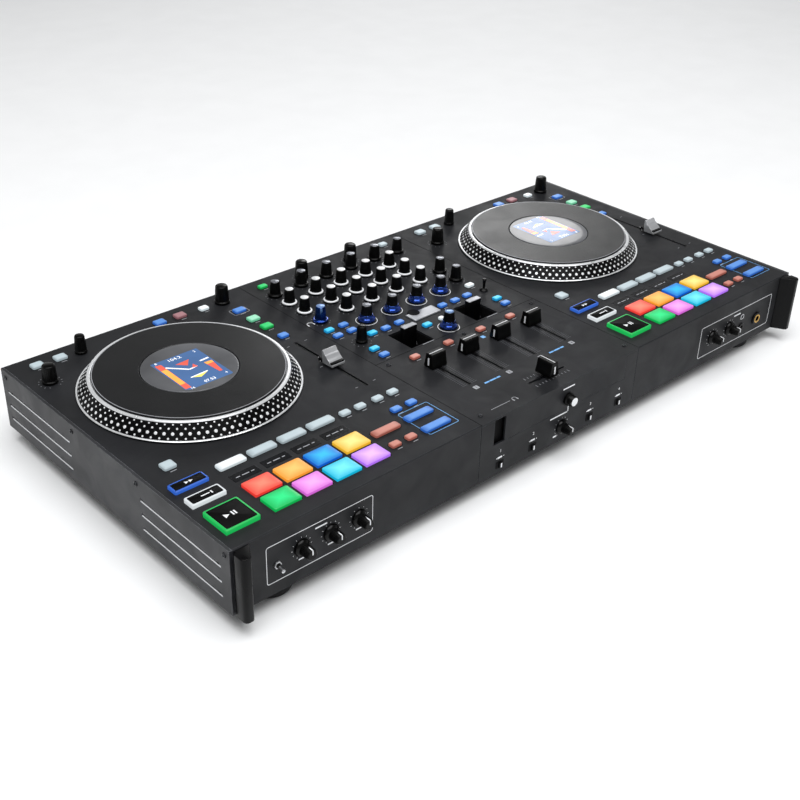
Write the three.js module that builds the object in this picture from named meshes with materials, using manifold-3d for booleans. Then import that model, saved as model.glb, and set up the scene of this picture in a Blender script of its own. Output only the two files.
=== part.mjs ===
// Two-deck DJ controller: a steel case in three sections with two motor driven platters,
// a four channel mixer between them, pitch faders, effect paddles, knobs, keys and pads.
// Millimetres, +Z up, X along the front edge, Y from the front edge to the rear.
// The origin is under the middle of the whole object, on the surface that it stands on.

import * as THREE from 'three';
import { mergeVertices } from 'three/addons/utils/BufferGeometryUtils.js';
import Module from 'manifold-3d';

const wasm = await Module();
wasm.setup();

// ---------------------------------------------------------------- driving dimensions

const CASE_WIDTH = 752;
const CASE_DEPTH = 356;
const CASE_HEIGHT = 62;
const FOOT_HEIGHT = 15;
const MIXER_WIDTH = 218.6;
const SHEET = 2;                 // thickness of the folded steel covers
const SIDE_SHEET = 3;            // thickness of the side panels
const GAP = 0.3;                 // clearance between pieces that meet
const GUARD_REACH = 15;          // how far the corner guards stand out in front
const INLET_STAND = 1.5;         // how far the inlet flange stands out behind

const FRONT = -CASE_DEPTH / 2;
const REAR = CASE_DEPTH / 2;
const DECK_Z = FOOT_HEIGHT + CASE_HEIGHT;          // top of the covers
const UNDER_COVER = DECK_Z - SHEET - GAP;
const MIXER_HALF = MIXER_WIDTH / 2;
const DECK_SPAN = CASE_WIDTH / 2 + MIXER_HALF;     // from one deck's middle to the other's
const PLATE_SEAM_Y = -39.6;                        // seam between mixer cover and fader plate

const PLATTER = { x: -258.6, y: 44, radius: 101.5, bore: 9.5, rimTop: 15.6 };
const TOP_DISC = { radius: 86.7, hole: 44.6, top: 16.7, thickness: 2.5 };
const DISPLAY = { radius: 43.9, bottom: 12.3 };
const SPINDLE_RADIUS = 9;

const PITCH = { x: -139, y: -9.2, slot: 105.3, slotWidth: 2.6, restY: -10.5 };
const START_KEY = { x: -349.5, y: -144.8, width: 32.3, depth: 32, rise: 3.8 };
const CUE_KEY = { x: -350, y: -110.7, width: 32.3, depth: 13.4, rise: 3.2 };
const PAD = { x: -306.5, y: -150.6, pitchX: 31.2, pitchY: 24.8, width: 27.3, depth: 21, rise: 2.4 };

const KNOB_COLUMNS = { x: -55.7, pitch: 34.2 };
const KNOB_ROWS = { gain: 138.7, high: 114.4, mid: 89.8, low: 65.2, filter: 34.5 };
const KNOB = { skirt: 7.7, body: 5.8, top: 5.4, height: 17.5 };
const FILTER_KNOB = { skirt: 8.8, body: 6.4, top: 5.6, height: 17.5 };
const ENCODER = { x: -2.5, y: -28.5 };
const SHAFT_RADIUS = 3;

const FADER_X = [-66.2, -22.2, 22.2, 66.6];
const FADER = { slotY: -97.2, slot: 48.6, slotWidth: 2.4, restY: -75.5, width: 18.6, depth: 12.4, ridge: 4.2, sink: 2 };
const CROSSFADER = { x: 0, y: -155.5 };
const PADDLE_X = [-46, 43.5];
const PADDLE = { y: -16.5, wellFront: -37.5, wellBack: -3, wellWidth: 30, width: 17.5, depth: 7 };
const PADDLE_RISE = 11.5;
const PADDLE_PIVOT = 13;         // depth of the paddle's pivot below the deck

const LIP = { half: 92, bottom: FOOT_HEIGHT + 34 };
const NOTCH = { left: -92, right: -78 };
const JACK = { x: 322, z: FOOT_HEIGHT + 24, radius: 3.3, sleeve: 6.2, length: 28 };
const INLET = { x: 250, z: FOOT_HEIGHT + 32, width: 28, height: 20, depth: 22 };
const FOOT = { x: 322, y: 150, radius: 20 };
const MOTOR = { radius: 40, height: 32 };
const BOARD = { width: 190, depth: 150, thickness: 1.6, stand: 6 };
const GROOVE = { depth: 0.8, width: 3.4, heights: [13, 27, 41.5] };

// ---------------------------------------------------------------- finishes

const finish = (color, roughness, metalness) =>
  new THREE.MeshStandardMaterial({ color, roughness, metalness });

const FINISH = {
  cover: () => finish('#2c2d31', 0.55, 0.6),
  side: () => finish('#4a4b4f', 0.5, 0.7),
  steel: () => finish('#1c1d20', 0.6, 0.7),
  blackPlastic: () => finish('#0c0c0e', 0.45, 0),
  rubber: () => finish('#111112', 0.85, 0),
  platter: () => finish('#8d8f94', 0.35, 1),
  disc: () => finish('#303135', 0.5, 0),
  glass: () => finish('#3b3f48', 0.15, 0),
  chrome: () => finish('#d5d7da', 0.15, 1),
  silicone: () => finish('#c9cdd2', 0.6, 0),
  green: () => finish('#1f8f45', 0.5, 0),
  white: () => finish('#d8dadc', 0.5, 0),
  blue: () => finish('#17459c', 0.3, 0.3),
  board: () => finish('#17512c', 0.6, 0.1),
};

// ---------------------------------------------------------------- solids

/** A closed three.js geometry as a solid that can be joined and cut. */
function solidOf(geometry) {
  const bare = geometry.index ? geometry.toNonIndexed() : geometry.clone();
  bare.deleteAttribute('normal');
  bare.deleteAttribute('uv');
  const merged = mergeVertices(bare, 1e-4);
  return new wasm.Manifold(new wasm.Mesh({
    numProp: 3,
    vertProperties: new Float32Array(merged.attributes.position.array),
    triVerts: new Uint32Array(merged.index.array),
  }));
}

/** A solid back as a three.js geometry. */
function geometryOf(solid) {
  const mesh = solid.getMesh();
  const geometry = new THREE.BufferGeometry();
  geometry.setAttribute('position', new THREE.BufferAttribute(mesh.vertProperties, 3));
  geometry.setIndex(new THREE.BufferAttribute(mesh.triVerts, 1));
  geometry.computeVertexNormals();
  return geometry;
}

/** A box from its low and high corners. */
function block(low, high) {
  const size = high.map((value, axis) => value - low[axis]);
  const geometry = new THREE.BoxGeometry(...size);
  geometry.translate(...low.map((value, axis) => value + size[axis] / 2));
  return solidOf(geometry);
}

/** An upright bar of n sides. */
function post(x, y, radius, bottom, top, sides = 12) {
  const geometry = new THREE.CylinderGeometry(radius, radius, top - bottom, sides);
  geometry.rotateX(Math.PI / 2);
  geometry.translate(x, y, (bottom + top) / 2);
  return solidOf(geometry);
}

/** A bar of n sides that lies along Y. */
function barAlongY(x, z, radius, front, rear, sides = 16) {
  const geometry = new THREE.CylinderGeometry(radius, radius, rear - front, sides);
  geometry.translate(x, (front + rear) / 2, z);
  return solidOf(geometry);
}

/** A flat outline pushed up from bottom to top. */
function slab(outline, bottom, top) {
  const shape = new THREE.Shape(outline.map(([x, y]) => new THREE.Vector2(x, y)));
  const geometry = new THREE.ExtrudeGeometry(shape, { depth: top - bottom, bevelEnabled: false });
  geometry.translate(0, 0, bottom);
  return solidOf(geometry);
}

/** A profile in Y and Z pushed along X. */
function barFromProfile(profile, left, right) {
  const shape = new THREE.Shape(profile.map(([y, z]) => new THREE.Vector2(y, z)));
  const geometry = new THREE.ExtrudeGeometry(shape, { depth: right - left, bevelEnabled: false });
  const toYZ = new THREE.Matrix4().makeBasis(
    new THREE.Vector3(0, 1, 0), new THREE.Vector3(0, 0, 1), new THREE.Vector3(1, 0, 0));
  geometry.applyMatrix4(toYZ);
  geometry.translate(left, 0, 0);
  return solidOf(geometry);
}

/** A closed profile of radius and height, turned round an upright axis. */
function turned(profile, sides) {
  const points = profile.map(([radius, height]) => new THREE.Vector2(radius, height));
  const geometry = new THREE.LatheGeometry(points, sides);
  geometry.rotateX(Math.PI / 2);
  return geometry;
}

// ---------------------------------------------------------------- the object

const controller = new THREE.Group();
// The guards reach further than the inlet, so the case stands a little behind the middle.
controller.position.y = (GUARD_REACH - INLET_STAND) / 2;

function place(name, geometry, material, x = 0, y = 0, z = 0, parent = controller) {
  const mesh = new THREE.Mesh(geometry, material);
  mesh.name = name;
  mesh.position.set(x, y, z);
  parent.add(mesh);
  return mesh;
}

/** Left and right decks carry the same parts, one deck's span apart. */
const DECKS = [{ side: 'left', shift: 0 }, { side: 'right', shift: DECK_SPAN }];

// ---------------------------------------------------------------- case

function keyHole(key, extra) {
  const halfWidth = key.width / 2 + extra;
  const halfDepth = key.depth / 2 + extra;
  return block([key.x - halfWidth, key.y - halfDepth, DECK_Z - 5],
    [key.x + halfWidth, key.y + halfDepth, DECK_Z + 5]);
}

function padPlaces() {
  const places = [];
  for (let row = 0; row < 2; row += 1) {
    for (let column = 0; column < 4; column += 1) {
      places.push({ x: PAD.x + column * PAD.pitchX, y: PAD.y + row * PAD.pitchY });
    }
  }
  return places;
}

/** Top plate and front wall folded from one sheet, with a small bevel along the fold. */
function foldedCover(left, right) {
  const bevel = 1;
  return barFromProfile([
    [FRONT, FOOT_HEIGHT], [FRONT + SHEET, FOOT_HEIGHT], [FRONT + SHEET, DECK_Z - SHEET],
    [REAR, DECK_Z - SHEET], [REAR, DECK_Z], [FRONT + bevel, DECK_Z], [FRONT, DECK_Z - bevel],
  ], left, right);
}

/** Everything that passes through a deck's cover, cut out at once. */
function deckHoles() {
  let holes = post(PLATTER.x, PLATTER.y, SPINDLE_RADIUS + 3, DECK_Z - 5, DECK_Z + 5, 24);
  holes = holes.add(keyHole({ x: PITCH.x, y: PITCH.y, width: PITCH.slotWidth, depth: PITCH.slot }, 0));
  holes = holes.add(keyHole(START_KEY, GAP)).add(keyHole(CUE_KEY, GAP));
  for (const { x, y } of padPlaces()) {
    holes = holes.add(keyHole({ x, y, width: PAD.width, depth: PAD.depth }, GAP));
  }
  return holes;
}

const COVER_OUTER = CASE_WIDTH / 2 - SIDE_SHEET - GAP;
const COVER_INNER = MIXER_HALF + GAP;

function leftDeckCover() {
  return geometryOf(foldedCover(-COVER_OUTER, -COVER_INNER).subtract(deckHoles()));
}

/** The right deck repeats the left one, and its front wall also carries the headphone socket. */
function rightDeckCover() {
  const holes = deckHoles().translate([DECK_SPAN, 0, 0]);
  const sleeve = barAlongY(JACK.x, JACK.z, JACK.sleeve, FRONT + 0.5, FRONT + JACK.length);
  const bore = barAlongY(JACK.x, JACK.z, JACK.radius, FRONT - 1, FRONT + JACK.length - SHEET);
  return geometryOf(foldedCover(COVER_INNER, COVER_OUTER).subtract(holes).add(sleeve).subtract(bore));
}

function mixerCover() {
  let cover = block([-MIXER_HALF + GAP, PLATE_SEAM_Y + GAP, DECK_Z - SHEET],
    [MIXER_HALF - GAP, REAR, DECK_Z]);
  const shaftHole = SHAFT_RADIUS + 0.4;
  for (const y of Object.values(KNOB_ROWS)) {
    for (let channel = 0; channel < 4; channel += 1) {
      const x = KNOB_COLUMNS.x + channel * KNOB_COLUMNS.pitch;
      cover = cover.subtract(post(x, y, shaftHole, DECK_Z - 5, DECK_Z + 5));
    }
  }
  cover = cover.subtract(post(ENCODER.x, ENCODER.y, shaftHole, DECK_Z - 5, DECK_Z + 5));
  for (const x of PADDLE_X) {
    cover = cover.subtract(block([x - PADDLE.wellWidth / 2, PADDLE.wellFront, DECK_Z - 5],
      [x + PADDLE.wellWidth / 2, PADDLE.wellBack, DECK_Z + 5]));
  }
  return geometryOf(cover);
}

/** The fader plate lies on top in front of the mixer cover, and its lip folds down in front. */
function faderPlate() {
  const left = -MIXER_HALF + GAP;
  let plate = block([left, FRONT, DECK_Z - SHEET], [-left, PLATE_SEAM_Y - GAP, DECK_Z]);
  plate = plate.add(block([-LIP.half, FRONT, LIP.bottom], [LIP.half, FRONT + SHEET, DECK_Z]));
  plate = plate.subtract(block([NOTCH.left - 1, FRONT - 1, LIP.bottom - 1],
    [NOTCH.right, FRONT + SHEET + GAP, DECK_Z - SHEET]));
  for (const x of FADER_X) {
    plate = plate.subtract(block(
      [x - FADER.slotWidth / 2, FADER.slotY - FADER.slot / 2, DECK_Z - 5],
      [x + FADER.slotWidth / 2, FADER.slotY + FADER.slot / 2, DECK_Z + 5]));
  }
  plate = plate.subtract(block(
    [CROSSFADER.x - FADER.slot / 2, CROSSFADER.y - FADER.slotWidth / 2, DECK_Z - 5],
    [CROSSFADER.x + FADER.slot / 2, CROSSFADER.y + FADER.slotWidth / 2, DECK_Z + 5]));
  return geometryOf(plate);
}

function mixerFrontPanel() {
  const left = -MIXER_HALF + GAP;
  const top = DECK_Z - SHEET - GAP;
  const panel = block([left, FRONT, FOOT_HEIGHT], [-left, FRONT + SHEET, top]);
  const lipRoom = block([-LIP.half - GAP, FRONT - 1, LIP.bottom - GAP],
    [LIP.half + GAP, FRONT + SHEET + 1, top + 1]);
  return geometryOf(panel.subtract(lipRoom));
}

/** A side panel with two sets of three grooves along its outer face. */
function sidePanel(outward) {
  const face = outward * CASE_WIDTH / 2;
  const inner = face - outward * SIDE_SHEET;
  let panel = block([Math.min(face, inner), FRONT, FOOT_HEIGHT], [Math.max(face, inner), REAR, DECK_Z]);
  const floor = face - outward * GROOVE.depth;
  for (const height of GROOVE.heights) {
    for (const [front, rear] of [[-166, -55], [58, 169]]) {
      panel = panel.subtract(block(
        [Math.min(floor, face + outward), front, FOOT_HEIGHT + height - GROOVE.width / 2],
        [Math.max(floor, face + outward), rear, FOOT_HEIGHT + height + GROOVE.width / 2]));
    }
  }
  return geometryOf(panel);
}

/** A rounded bar that guards a front corner, wide where it meets the case. */
function cornerGuard(outward) {
  const edge = CASE_WIDTH / 2 - 1.5;
  const nose = FRONT - GUARD_REACH;
  const round = 4;
  const outline = [[edge - 16.5, FRONT - GAP], [edge - 8.5, nose + 1], [edge - 7.5, nose]];
  const steps = 4;
  for (let step = 0; step <= steps; step += 1) {
    const angle = (step / steps) * Math.PI / 2;
    outline.push([edge - round + round * Math.sin(angle), nose + round - round * Math.cos(angle)]);
  }
  outline.push([edge, FRONT - 3.5], [edge - 2, FRONT - 3.5], [edge - 2, FRONT - GAP]);
  const mirrored = outline.map(([x, y]) => [outward * x, y]);
  if (outward < 0) mirrored.reverse();
  return geometryOf(slab(mirrored, FOOT_HEIGHT, DECK_Z - 1));
}

/** Floor and rear wall in one sheet, with posts for the board and a cut-out for the inlet. */
function basePan() {
  const side = COVER_OUTER;
  const floorTop = FOOT_HEIGHT + SHEET;
  let pan = block([-side, FRONT + SHEET + GAP, FOOT_HEIGHT], [side, REAR, floorTop]);
  pan = pan.add(block([-side, REAR - SHEET, FOOT_HEIGHT], [side, REAR, UNDER_COVER]));
  pan = pan.subtract(block([INLET.x - INLET.width / 2 - GAP, REAR - 5, INLET.z - INLET.height / 2 - GAP],
    [INLET.x + INLET.width / 2 + GAP, REAR + 1, INLET.z + INLET.height / 2 + GAP]));
  for (const x of [-1, 1]) {
    for (const y of [-1, 1]) {
      pan = pan.add(post(x * (BOARD.width / 2 - 8), 40 + y * (BOARD.depth / 2 - 8), 3,
        floorTop - 0.5, floorTop + BOARD.stand - GAP, 8));
    }
  }
  return geometryOf(pan);
}

function mainBoard() {
  const bottom = FOOT_HEIGHT + SHEET + BOARD.stand;
  return geometryOf(block([-BOARD.width / 2, 40 - BOARD.depth / 2, bottom],
    [BOARD.width / 2, 40 + BOARD.depth / 2, bottom + BOARD.thickness]));
}

/** Mains inlet: a flanged cup in the rear wall, open to the rear. */
function powerInlet() {
  const wall = 2;
  const halfWidth = INLET.width / 2;
  const halfHeight = INLET.height / 2;
  let inlet = block([INLET.x - halfWidth, REAR - INLET.depth, INLET.z - halfHeight],
    [INLET.x + halfWidth, REAR + INLET_STAND, INLET.z + halfHeight]);
  inlet = inlet.add(block([INLET.x - halfWidth - 6, REAR + GAP, INLET.z - halfHeight - 2],
    [INLET.x + halfWidth + 6, REAR + INLET_STAND, INLET.z + halfHeight + 2]));
  inlet = inlet.subtract(block(
    [INLET.x - halfWidth + wall, REAR - INLET.depth + wall, INLET.z - halfHeight + wall],
    [INLET.x + halfWidth - wall, REAR + INLET_STAND + 1, INLET.z + halfHeight - wall]));
  return geometryOf(inlet);
}

place('left_deck_cover', leftDeckCover(), FINISH.cover());
place('right_deck_cover', rightDeckCover(), FINISH.cover());
place('mixer_cover', mixerCover(), FINISH.cover());
place('fader_plate', faderPlate(), FINISH.cover());
place('mixer_front_panel', mixerFrontPanel(), FINISH.cover());
place('left_side_panel', sidePanel(-1), FINISH.side());
place('right_side_panel', sidePanel(1), FINISH.side());
place('left_corner_guard', cornerGuard(-1), FINISH.blackPlastic());
place('right_corner_guard', cornerGuard(1), FINISH.blackPlastic());
place('base_pan', basePan(), FINISH.steel());
place('main_board', mainBoard(), FINISH.board());
place('power_inlet', powerInlet(), FINISH.blackPlastic());

const footShape = turned([
  [0, 0], [FOOT.radius - 1.5, 0], [FOOT.radius, 1.5],
  [FOOT.radius, FOOT_HEIGHT - GAP], [0, FOOT_HEIGHT - GAP],
], 24);
for (const [end, y] of [['front', -FOOT.y], ['rear', FOOT.y]]) {
  for (const [side, x] of [['left', -FOOT.x], ['right', FOOT.x]]) {
    place(`foot_${end}_${side}`, footShape.clone(), FINISH.rubber(), x, y);
  }
}

// ---------------------------------------------------------------- decks

/** Aluminium platter: a low dish with a sloping rim, hollow in the middle for the display. */
function platterShape() {
  const under = 1;
  const dish = TOP_DISC.top - TOP_DISC.thickness - GAP;
  return turned([
    [PLATTER.bore, under], [PLATTER.radius, under], [PLATTER.radius, under + 0.8],
    [PLATTER.radius - 1.6, under + 1.2], [90.6, PLATTER.rimTop - 1], [89, PLATTER.rimTop],
    [TOP_DISC.radius + 0.6, PLATTER.rimTop], [TOP_DISC.radius + 0.6, dish],
    [TOP_DISC.hole + 0.8, dish], [TOP_DISC.hole + 0.8, DISPLAY.bottom - 0.5],
    [PLATTER.bore, DISPLAY.bottom - 0.5], [PLATTER.bore, under],
  ], 56);
}

function topDiscShape() {
  const bottom = TOP_DISC.top - TOP_DISC.thickness;
  return turned([
    [TOP_DISC.hole, bottom], [TOP_DISC.radius, bottom], [TOP_DISC.radius, TOP_DISC.top],
    [TOP_DISC.hole, TOP_DISC.top], [TOP_DISC.hole, bottom],
  ], 56);
}

function displayShape() {
  return turned([
    [0, DISPLAY.bottom], [DISPLAY.radius - 0.6, DISPLAY.bottom], [DISPLAY.radius, DISPLAY.bottom + 0.6],
    [DISPLAY.radius, TOP_DISC.top], [0, TOP_DISC.top],
  ], 56);
}

/** Motor can under the cover, with the still spindle that carries the display. */
function motorShape() {
  const top = -SHEET - GAP - 1;
  return turned([
    [0, top - MOTOR.height], [MOTOR.radius, top - MOTOR.height], [MOTOR.radius, top],
    [SPINDLE_RADIUS, top], [SPINDLE_RADIUS, DISPLAY.bottom - GAP], [0, DISPLAY.bottom - GAP],
  ], 28);
}

/** Chrome saddle that climbs from a low front lip to a high ridge, over a low block, on a flat stem. */
function pitchCapShape() {
  const half = 10.5;
  const halfWidth = 7.8;
  const cap = barFromProfile([
    [-half, 2.4], [half, 2.4], [half, 6.5], [4.6, 7], [3.8, 15.2], [2, 15.6],
    [-1, 11.4], [-4.4, 8.8], [-7.6, 6], [-half, 4.2],
  ], -halfWidth, halfWidth);
  return geometryOf(cap.add(block([-0.7, -2.5, -12], [0.7, 2.5, 3])));
}

/** A key that stands through its hole, with a wider flange under the cover. */
function keyShape(key) {
  const flange = 1.5;
  const top = block([-key.width / 2, -key.depth / 2, -6], [key.width / 2, key.depth / 2, key.rise]);
  return geometryOf(top.add(block([-key.width / 2 - flange, -key.depth / 2 - flange, -7],
    [key.width / 2 + flange, key.depth / 2 + flange, -4])));
}

/** Eight pads that stand on one silicone sheet under the cover. */
function padMatShape() {
  const sheetTop = -SHEET - GAP;
  let mat = block([PAD.x - PAD.width / 2 - 4, PAD.y - PAD.depth / 2 - 4, sheetTop - 2],
    [PAD.x + 3 * PAD.pitchX + PAD.width / 2 + 4, PAD.y + PAD.pitchY + PAD.depth / 2 + 4, sheetTop]);
  for (const { x, y } of padPlaces()) {
    mat = mat.add(block([x - PAD.width / 2, y - PAD.depth / 2, sheetTop - 1],
      [x + PAD.width / 2, y + PAD.depth / 2, PAD.rise]));
  }
  return geometryOf(mat);
}

for (const { side, shift } of DECKS) {
  const deck = new THREE.Group();
  deck.position.set(shift, 0, DECK_Z);
  controller.add(deck);
  const { x, y } = PLATTER;
  place(`${side}_platter_motor`, motorShape(), FINISH.steel(), x, y, 0, deck);
  place(`${side}_platter`, platterShape(), FINISH.platter(), x, y, 0, deck);
  place(`${side}_top_disc`, topDiscShape(), FINISH.disc(), x, y, 0, deck);
  place(`${side}_display`, displayShape(), FINISH.glass(), x, y, 0, deck);
  place(`${side}_pitch_fader`, pitchCapShape(), FINISH.chrome(), PITCH.x, PITCH.restY, 0, deck);
  place(`${side}_start_key`, keyShape(START_KEY), FINISH.green(), START_KEY.x, START_KEY.y, 0, deck);
  place(`${side}_cue_key`, keyShape(CUE_KEY), FINISH.white(), CUE_KEY.x, CUE_KEY.y, 0, deck);
  place(`${side}_pad_mat`, padMatShape(), FINISH.silicone(), 0, 0, 0, deck);
}

// ---------------------------------------------------------------- mixer

/** Knob with a skirt and a tapering body, on a shaft that passes through the cover. */
function knobShape({ skirt, body, top, height }) {
  return turned([
    [0, -9], [SHAFT_RADIUS, -9], [SHAFT_RADIUS, 0.8], [skirt, 0.8], [skirt - 0.6, 3.4],
    [body, 4], [top, height], [0, height],
  ], 12);
}

const mixer = new THREE.Group();
mixer.position.z = DECK_Z;
controller.add(mixer);

for (let channel = 0; channel < 4; channel += 1) {
  const x = KNOB_COLUMNS.x + channel * KNOB_COLUMNS.pitch;
  for (const [row, y] of Object.entries(KNOB_ROWS)) {
    const filter = row === 'filter';
    const shape = knobShape(filter ? FILTER_KNOB : KNOB);
    const name = `channel_${channel + 1}_${row}_knob`;
    place(name, shape, filter ? FINISH.blue() : FINISH.blackPlastic(), x, y, 0, mixer);
  }
}
place('browse_encoder', knobShape(FILTER_KNOB), FINISH.blue(), ENCODER.x, ENCODER.y, 0, mixer);

/** Fader cap with sloping faces on a thin stem; it slides along Y. */
function faderCapShape() {
  const half = FADER.depth / 2;
  const cap = barFromProfile([
    [-half, 2.6], [half, 2.6], [half, 5], [FADER.ridge, 17], [-FADER.ridge, 17], [-half, 5],
  ], -FADER.width / 2, FADER.width / 2);
  return cap.add(block([-0.8, -1.6, -12], [0.8, 1.6, 3]));
}

FADER_X.forEach((x, index) => {
  const name = `channel_${index + 1}_fader`;
  place(name, geometryOf(faderCapShape()), FINISH.blackPlastic(), x, FADER.restY, -FADER.sink, mixer);
});
const crossfaderShape = geometryOf(faderCapShape().rotate([0, 0, 90]));
place('crossfader', crossfaderShape, FINISH.blackPlastic(), CROSSFADER.x, CROSSFADER.y, 0, mixer);

/** Effect paddle: a block with rounded top edges on a round hub across its pivot. */
function paddleShape() {
  const half = PADDLE.depth / 2;
  const blade = barFromProfile([
    [-half, -PADDLE_PIVOT], [half, -PADDLE_PIVOT], [half, PADDLE_RISE - 1], [half - 1, PADDLE_RISE],
    [-half + 1, PADDLE_RISE], [-half, PADDLE_RISE - 1],
  ], -PADDLE.width / 2, PADDLE.width / 2);
  const hub = new THREE.CylinderGeometry(3.5, 3.5, PADDLE.width + 4, 12);
  hub.rotateZ(Math.PI / 2);
  hub.translate(0, 0, -PADDLE_PIVOT);
  return geometryOf(blade.add(solidOf(hub)));
}

PADDLE_X.forEach((x, index) => {
  const name = `${DECKS[index].side}_effect_paddle`;
  place(name, paddleShape(), FINISH.blackPlastic(), x, PADDLE.y, 0, mixer);
});

export default controller;
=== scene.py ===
"""Two-deck DJ controller: its looks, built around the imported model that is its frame.

Lengths in the layout tables are millimetres. On a deck they run from a point near the platter's
axis, on the mixer from the middle of the case, and on the front and rear from their lower edges.
Everything else is in metres.
"""

import math

import bmesh
import bpy
from bpy.props import FloatProperty, FloatVectorProperty, PointerProperty
from bpy.types import Operator, Panel, PropertyGroup
from mathutils import Matrix, Vector


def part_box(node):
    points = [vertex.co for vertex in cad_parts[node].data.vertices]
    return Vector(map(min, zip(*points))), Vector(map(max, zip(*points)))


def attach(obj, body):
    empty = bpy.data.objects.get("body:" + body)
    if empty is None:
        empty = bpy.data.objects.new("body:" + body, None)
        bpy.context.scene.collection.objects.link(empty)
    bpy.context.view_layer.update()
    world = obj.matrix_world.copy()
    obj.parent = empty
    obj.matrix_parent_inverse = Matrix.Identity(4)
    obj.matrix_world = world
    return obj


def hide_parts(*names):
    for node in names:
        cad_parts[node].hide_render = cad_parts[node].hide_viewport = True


bl_info = {
    "name": "Two-deck DJ controller",
    "version": (1, 0, 0),
    "blender": (4, 5, 0),
    "location": "3D View > Sidebar > Controller",
    "description": "Models a DJ controller's platters, knobs, faders, keys, pads, sockets and prints",
    "category": "Add Mesh",
}

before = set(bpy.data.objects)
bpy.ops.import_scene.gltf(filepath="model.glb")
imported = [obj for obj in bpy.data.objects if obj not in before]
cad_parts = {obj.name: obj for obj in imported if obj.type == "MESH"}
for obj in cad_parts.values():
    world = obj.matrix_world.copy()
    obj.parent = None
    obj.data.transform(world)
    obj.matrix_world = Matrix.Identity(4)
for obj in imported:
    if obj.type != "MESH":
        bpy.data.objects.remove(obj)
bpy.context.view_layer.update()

MM = 0.001
UPRIGHT = (0.0, 0.0, 1.0)
CENTRE = (0.0, 0.0, 0.0)
CENTRE_POINT = Vector(CENTRE)

PANEL_LOW, PANEL_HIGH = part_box("left_side_panel")
CASE_FRONT, CASE_BACK = PANEL_LOW.y, PANEL_HIGH.y
CASE_MIDDLE = (CASE_FRONT + CASE_BACK) / 2
CASE_BOTTOM, DECK_TOP = PANEL_LOW.z, PANEL_HIGH.z
CASE_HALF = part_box("right_side_panel")[1].x


def middle_of(node):
    """The middle of a node's box."""
    low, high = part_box(node)
    return (low + high) / 2


SIDES = ("left", "right")
PLATTER_AXIS = {side: middle_of(f"{side}_platter") for side in SIDES}
# The decks' layout starts this far from the platter's axis.
DECK_ORIGIN = Vector((3.4, 3.6, 0)) * MM
CHANNELS = (1, 2, 3, 4)
KNOB_ROWS = ("gain", "high", "mid", "low", "filter")


def on_deck(side, across, back, rise=0.0):
    """A spot on a deck's cover, in millimetres from a point near that deck's platter axis."""
    axis = PLATTER_AXIS[side]
    return Vector((axis.x + across * MM, axis.y + back * MM, DECK_TOP + rise * MM)) + DECK_ORIGIN


def on_platter(side, rise=0.0):
    """A spot on a platter's axis, in millimetres above the cover."""
    axis = PLATTER_AXIS[side]
    return Vector((axis.x, axis.y, DECK_TOP + rise * MM))


def on_mixer(across, back, rise=0.0):
    """A spot on the mixer, in millimetres from the middle of the case."""
    return Vector((across * MM, CASE_MIDDLE + back * MM, DECK_TOP + rise * MM))


def on_front(across, height, out=0.0):
    """A spot on the front face, in millimetres from its middle and its lower edge."""
    return Vector((across * MM, CASE_FRONT - out * MM, CASE_BOTTOM + height * MM))


def on_back(across, height):
    """A spot on the rear wall, in millimetres from its middle and its lower edge."""
    return Vector((across * MM, CASE_BACK, CASE_BOTTOM + height * MM))


def shade(code):
    """A web colour such as 2b2c30 as linear red, green and blue with full alpha."""
    values = [int(code[start:start + 2], 16) / 255 for start in (0, 2, 4)]
    linear = [v / 12.92 if v <= 0.04045 else ((v + 0.055) / 1.055) ** 2.4 for v in values]
    return (*linear, 1.0)


# ------------------------------------------------------------------ settings


class CaseSettings(PropertyGroup):
    """Paint of the steel case."""

    cover_colour: FloatVectorProperty(
        name="Cover paint", description="Colour of the folded steel covers",
        subtype="COLOR", size=4, min=0, max=1, default=shade("17181b"))
    side_colour: FloatVectorProperty(
        name="Side paint", description="Colour of the two side panels",
        subtype="COLOR", size=4, min=0, max=1, default=shade("1e1f23"))
    edge_rounding: FloatProperty(
        name="Edge rounding", description="Radius of the rounded edges of guards and panels",
        default=0.0007, min=0.0, unit="LENGTH")


class KnobSettings(PropertyGroup):
    """Sizes of the mixer's knobs."""

    skirt_radius: FloatProperty(
        name="Skirt radius", description="Radius of a tone knob at its foot",
        default=0.0077, min=0.003, unit="LENGTH")
    body_radius: FloatProperty(
        name="Body radius", description="Radius of a tone knob just above its skirt",
        default=0.0061, min=0.002, unit="LENGTH")
    height: FloatProperty(
        name="Height", description="Height of a mixer knob over the cover",
        default=0.0175, min=0.005, unit="LENGTH")
    skirt_colour: FloatVectorProperty(
        name="Filter skirt", description="Metallic colour of the filter knobs' skirts",
        subtype="COLOR", size=4, min=0, max=1, default=shade("1c48a8"))


class PadSettings(PropertyGroup):
    """Light of the pads and keys."""

    pad_light: FloatProperty(
        name="Pad light", description="Strength of the light in the middle of a pad",
        default=0.8, min=0.0)
    key_light: FloatProperty(
        name="Key light", description="Strength of the light in a key", default=0.7, min=0.0)
    pad_crown: FloatProperty(
        name="Pad crown", description="How far the middle of a pad stands over its edge",
        default=0.0004, min=0.0, unit="LENGTH")


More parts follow.
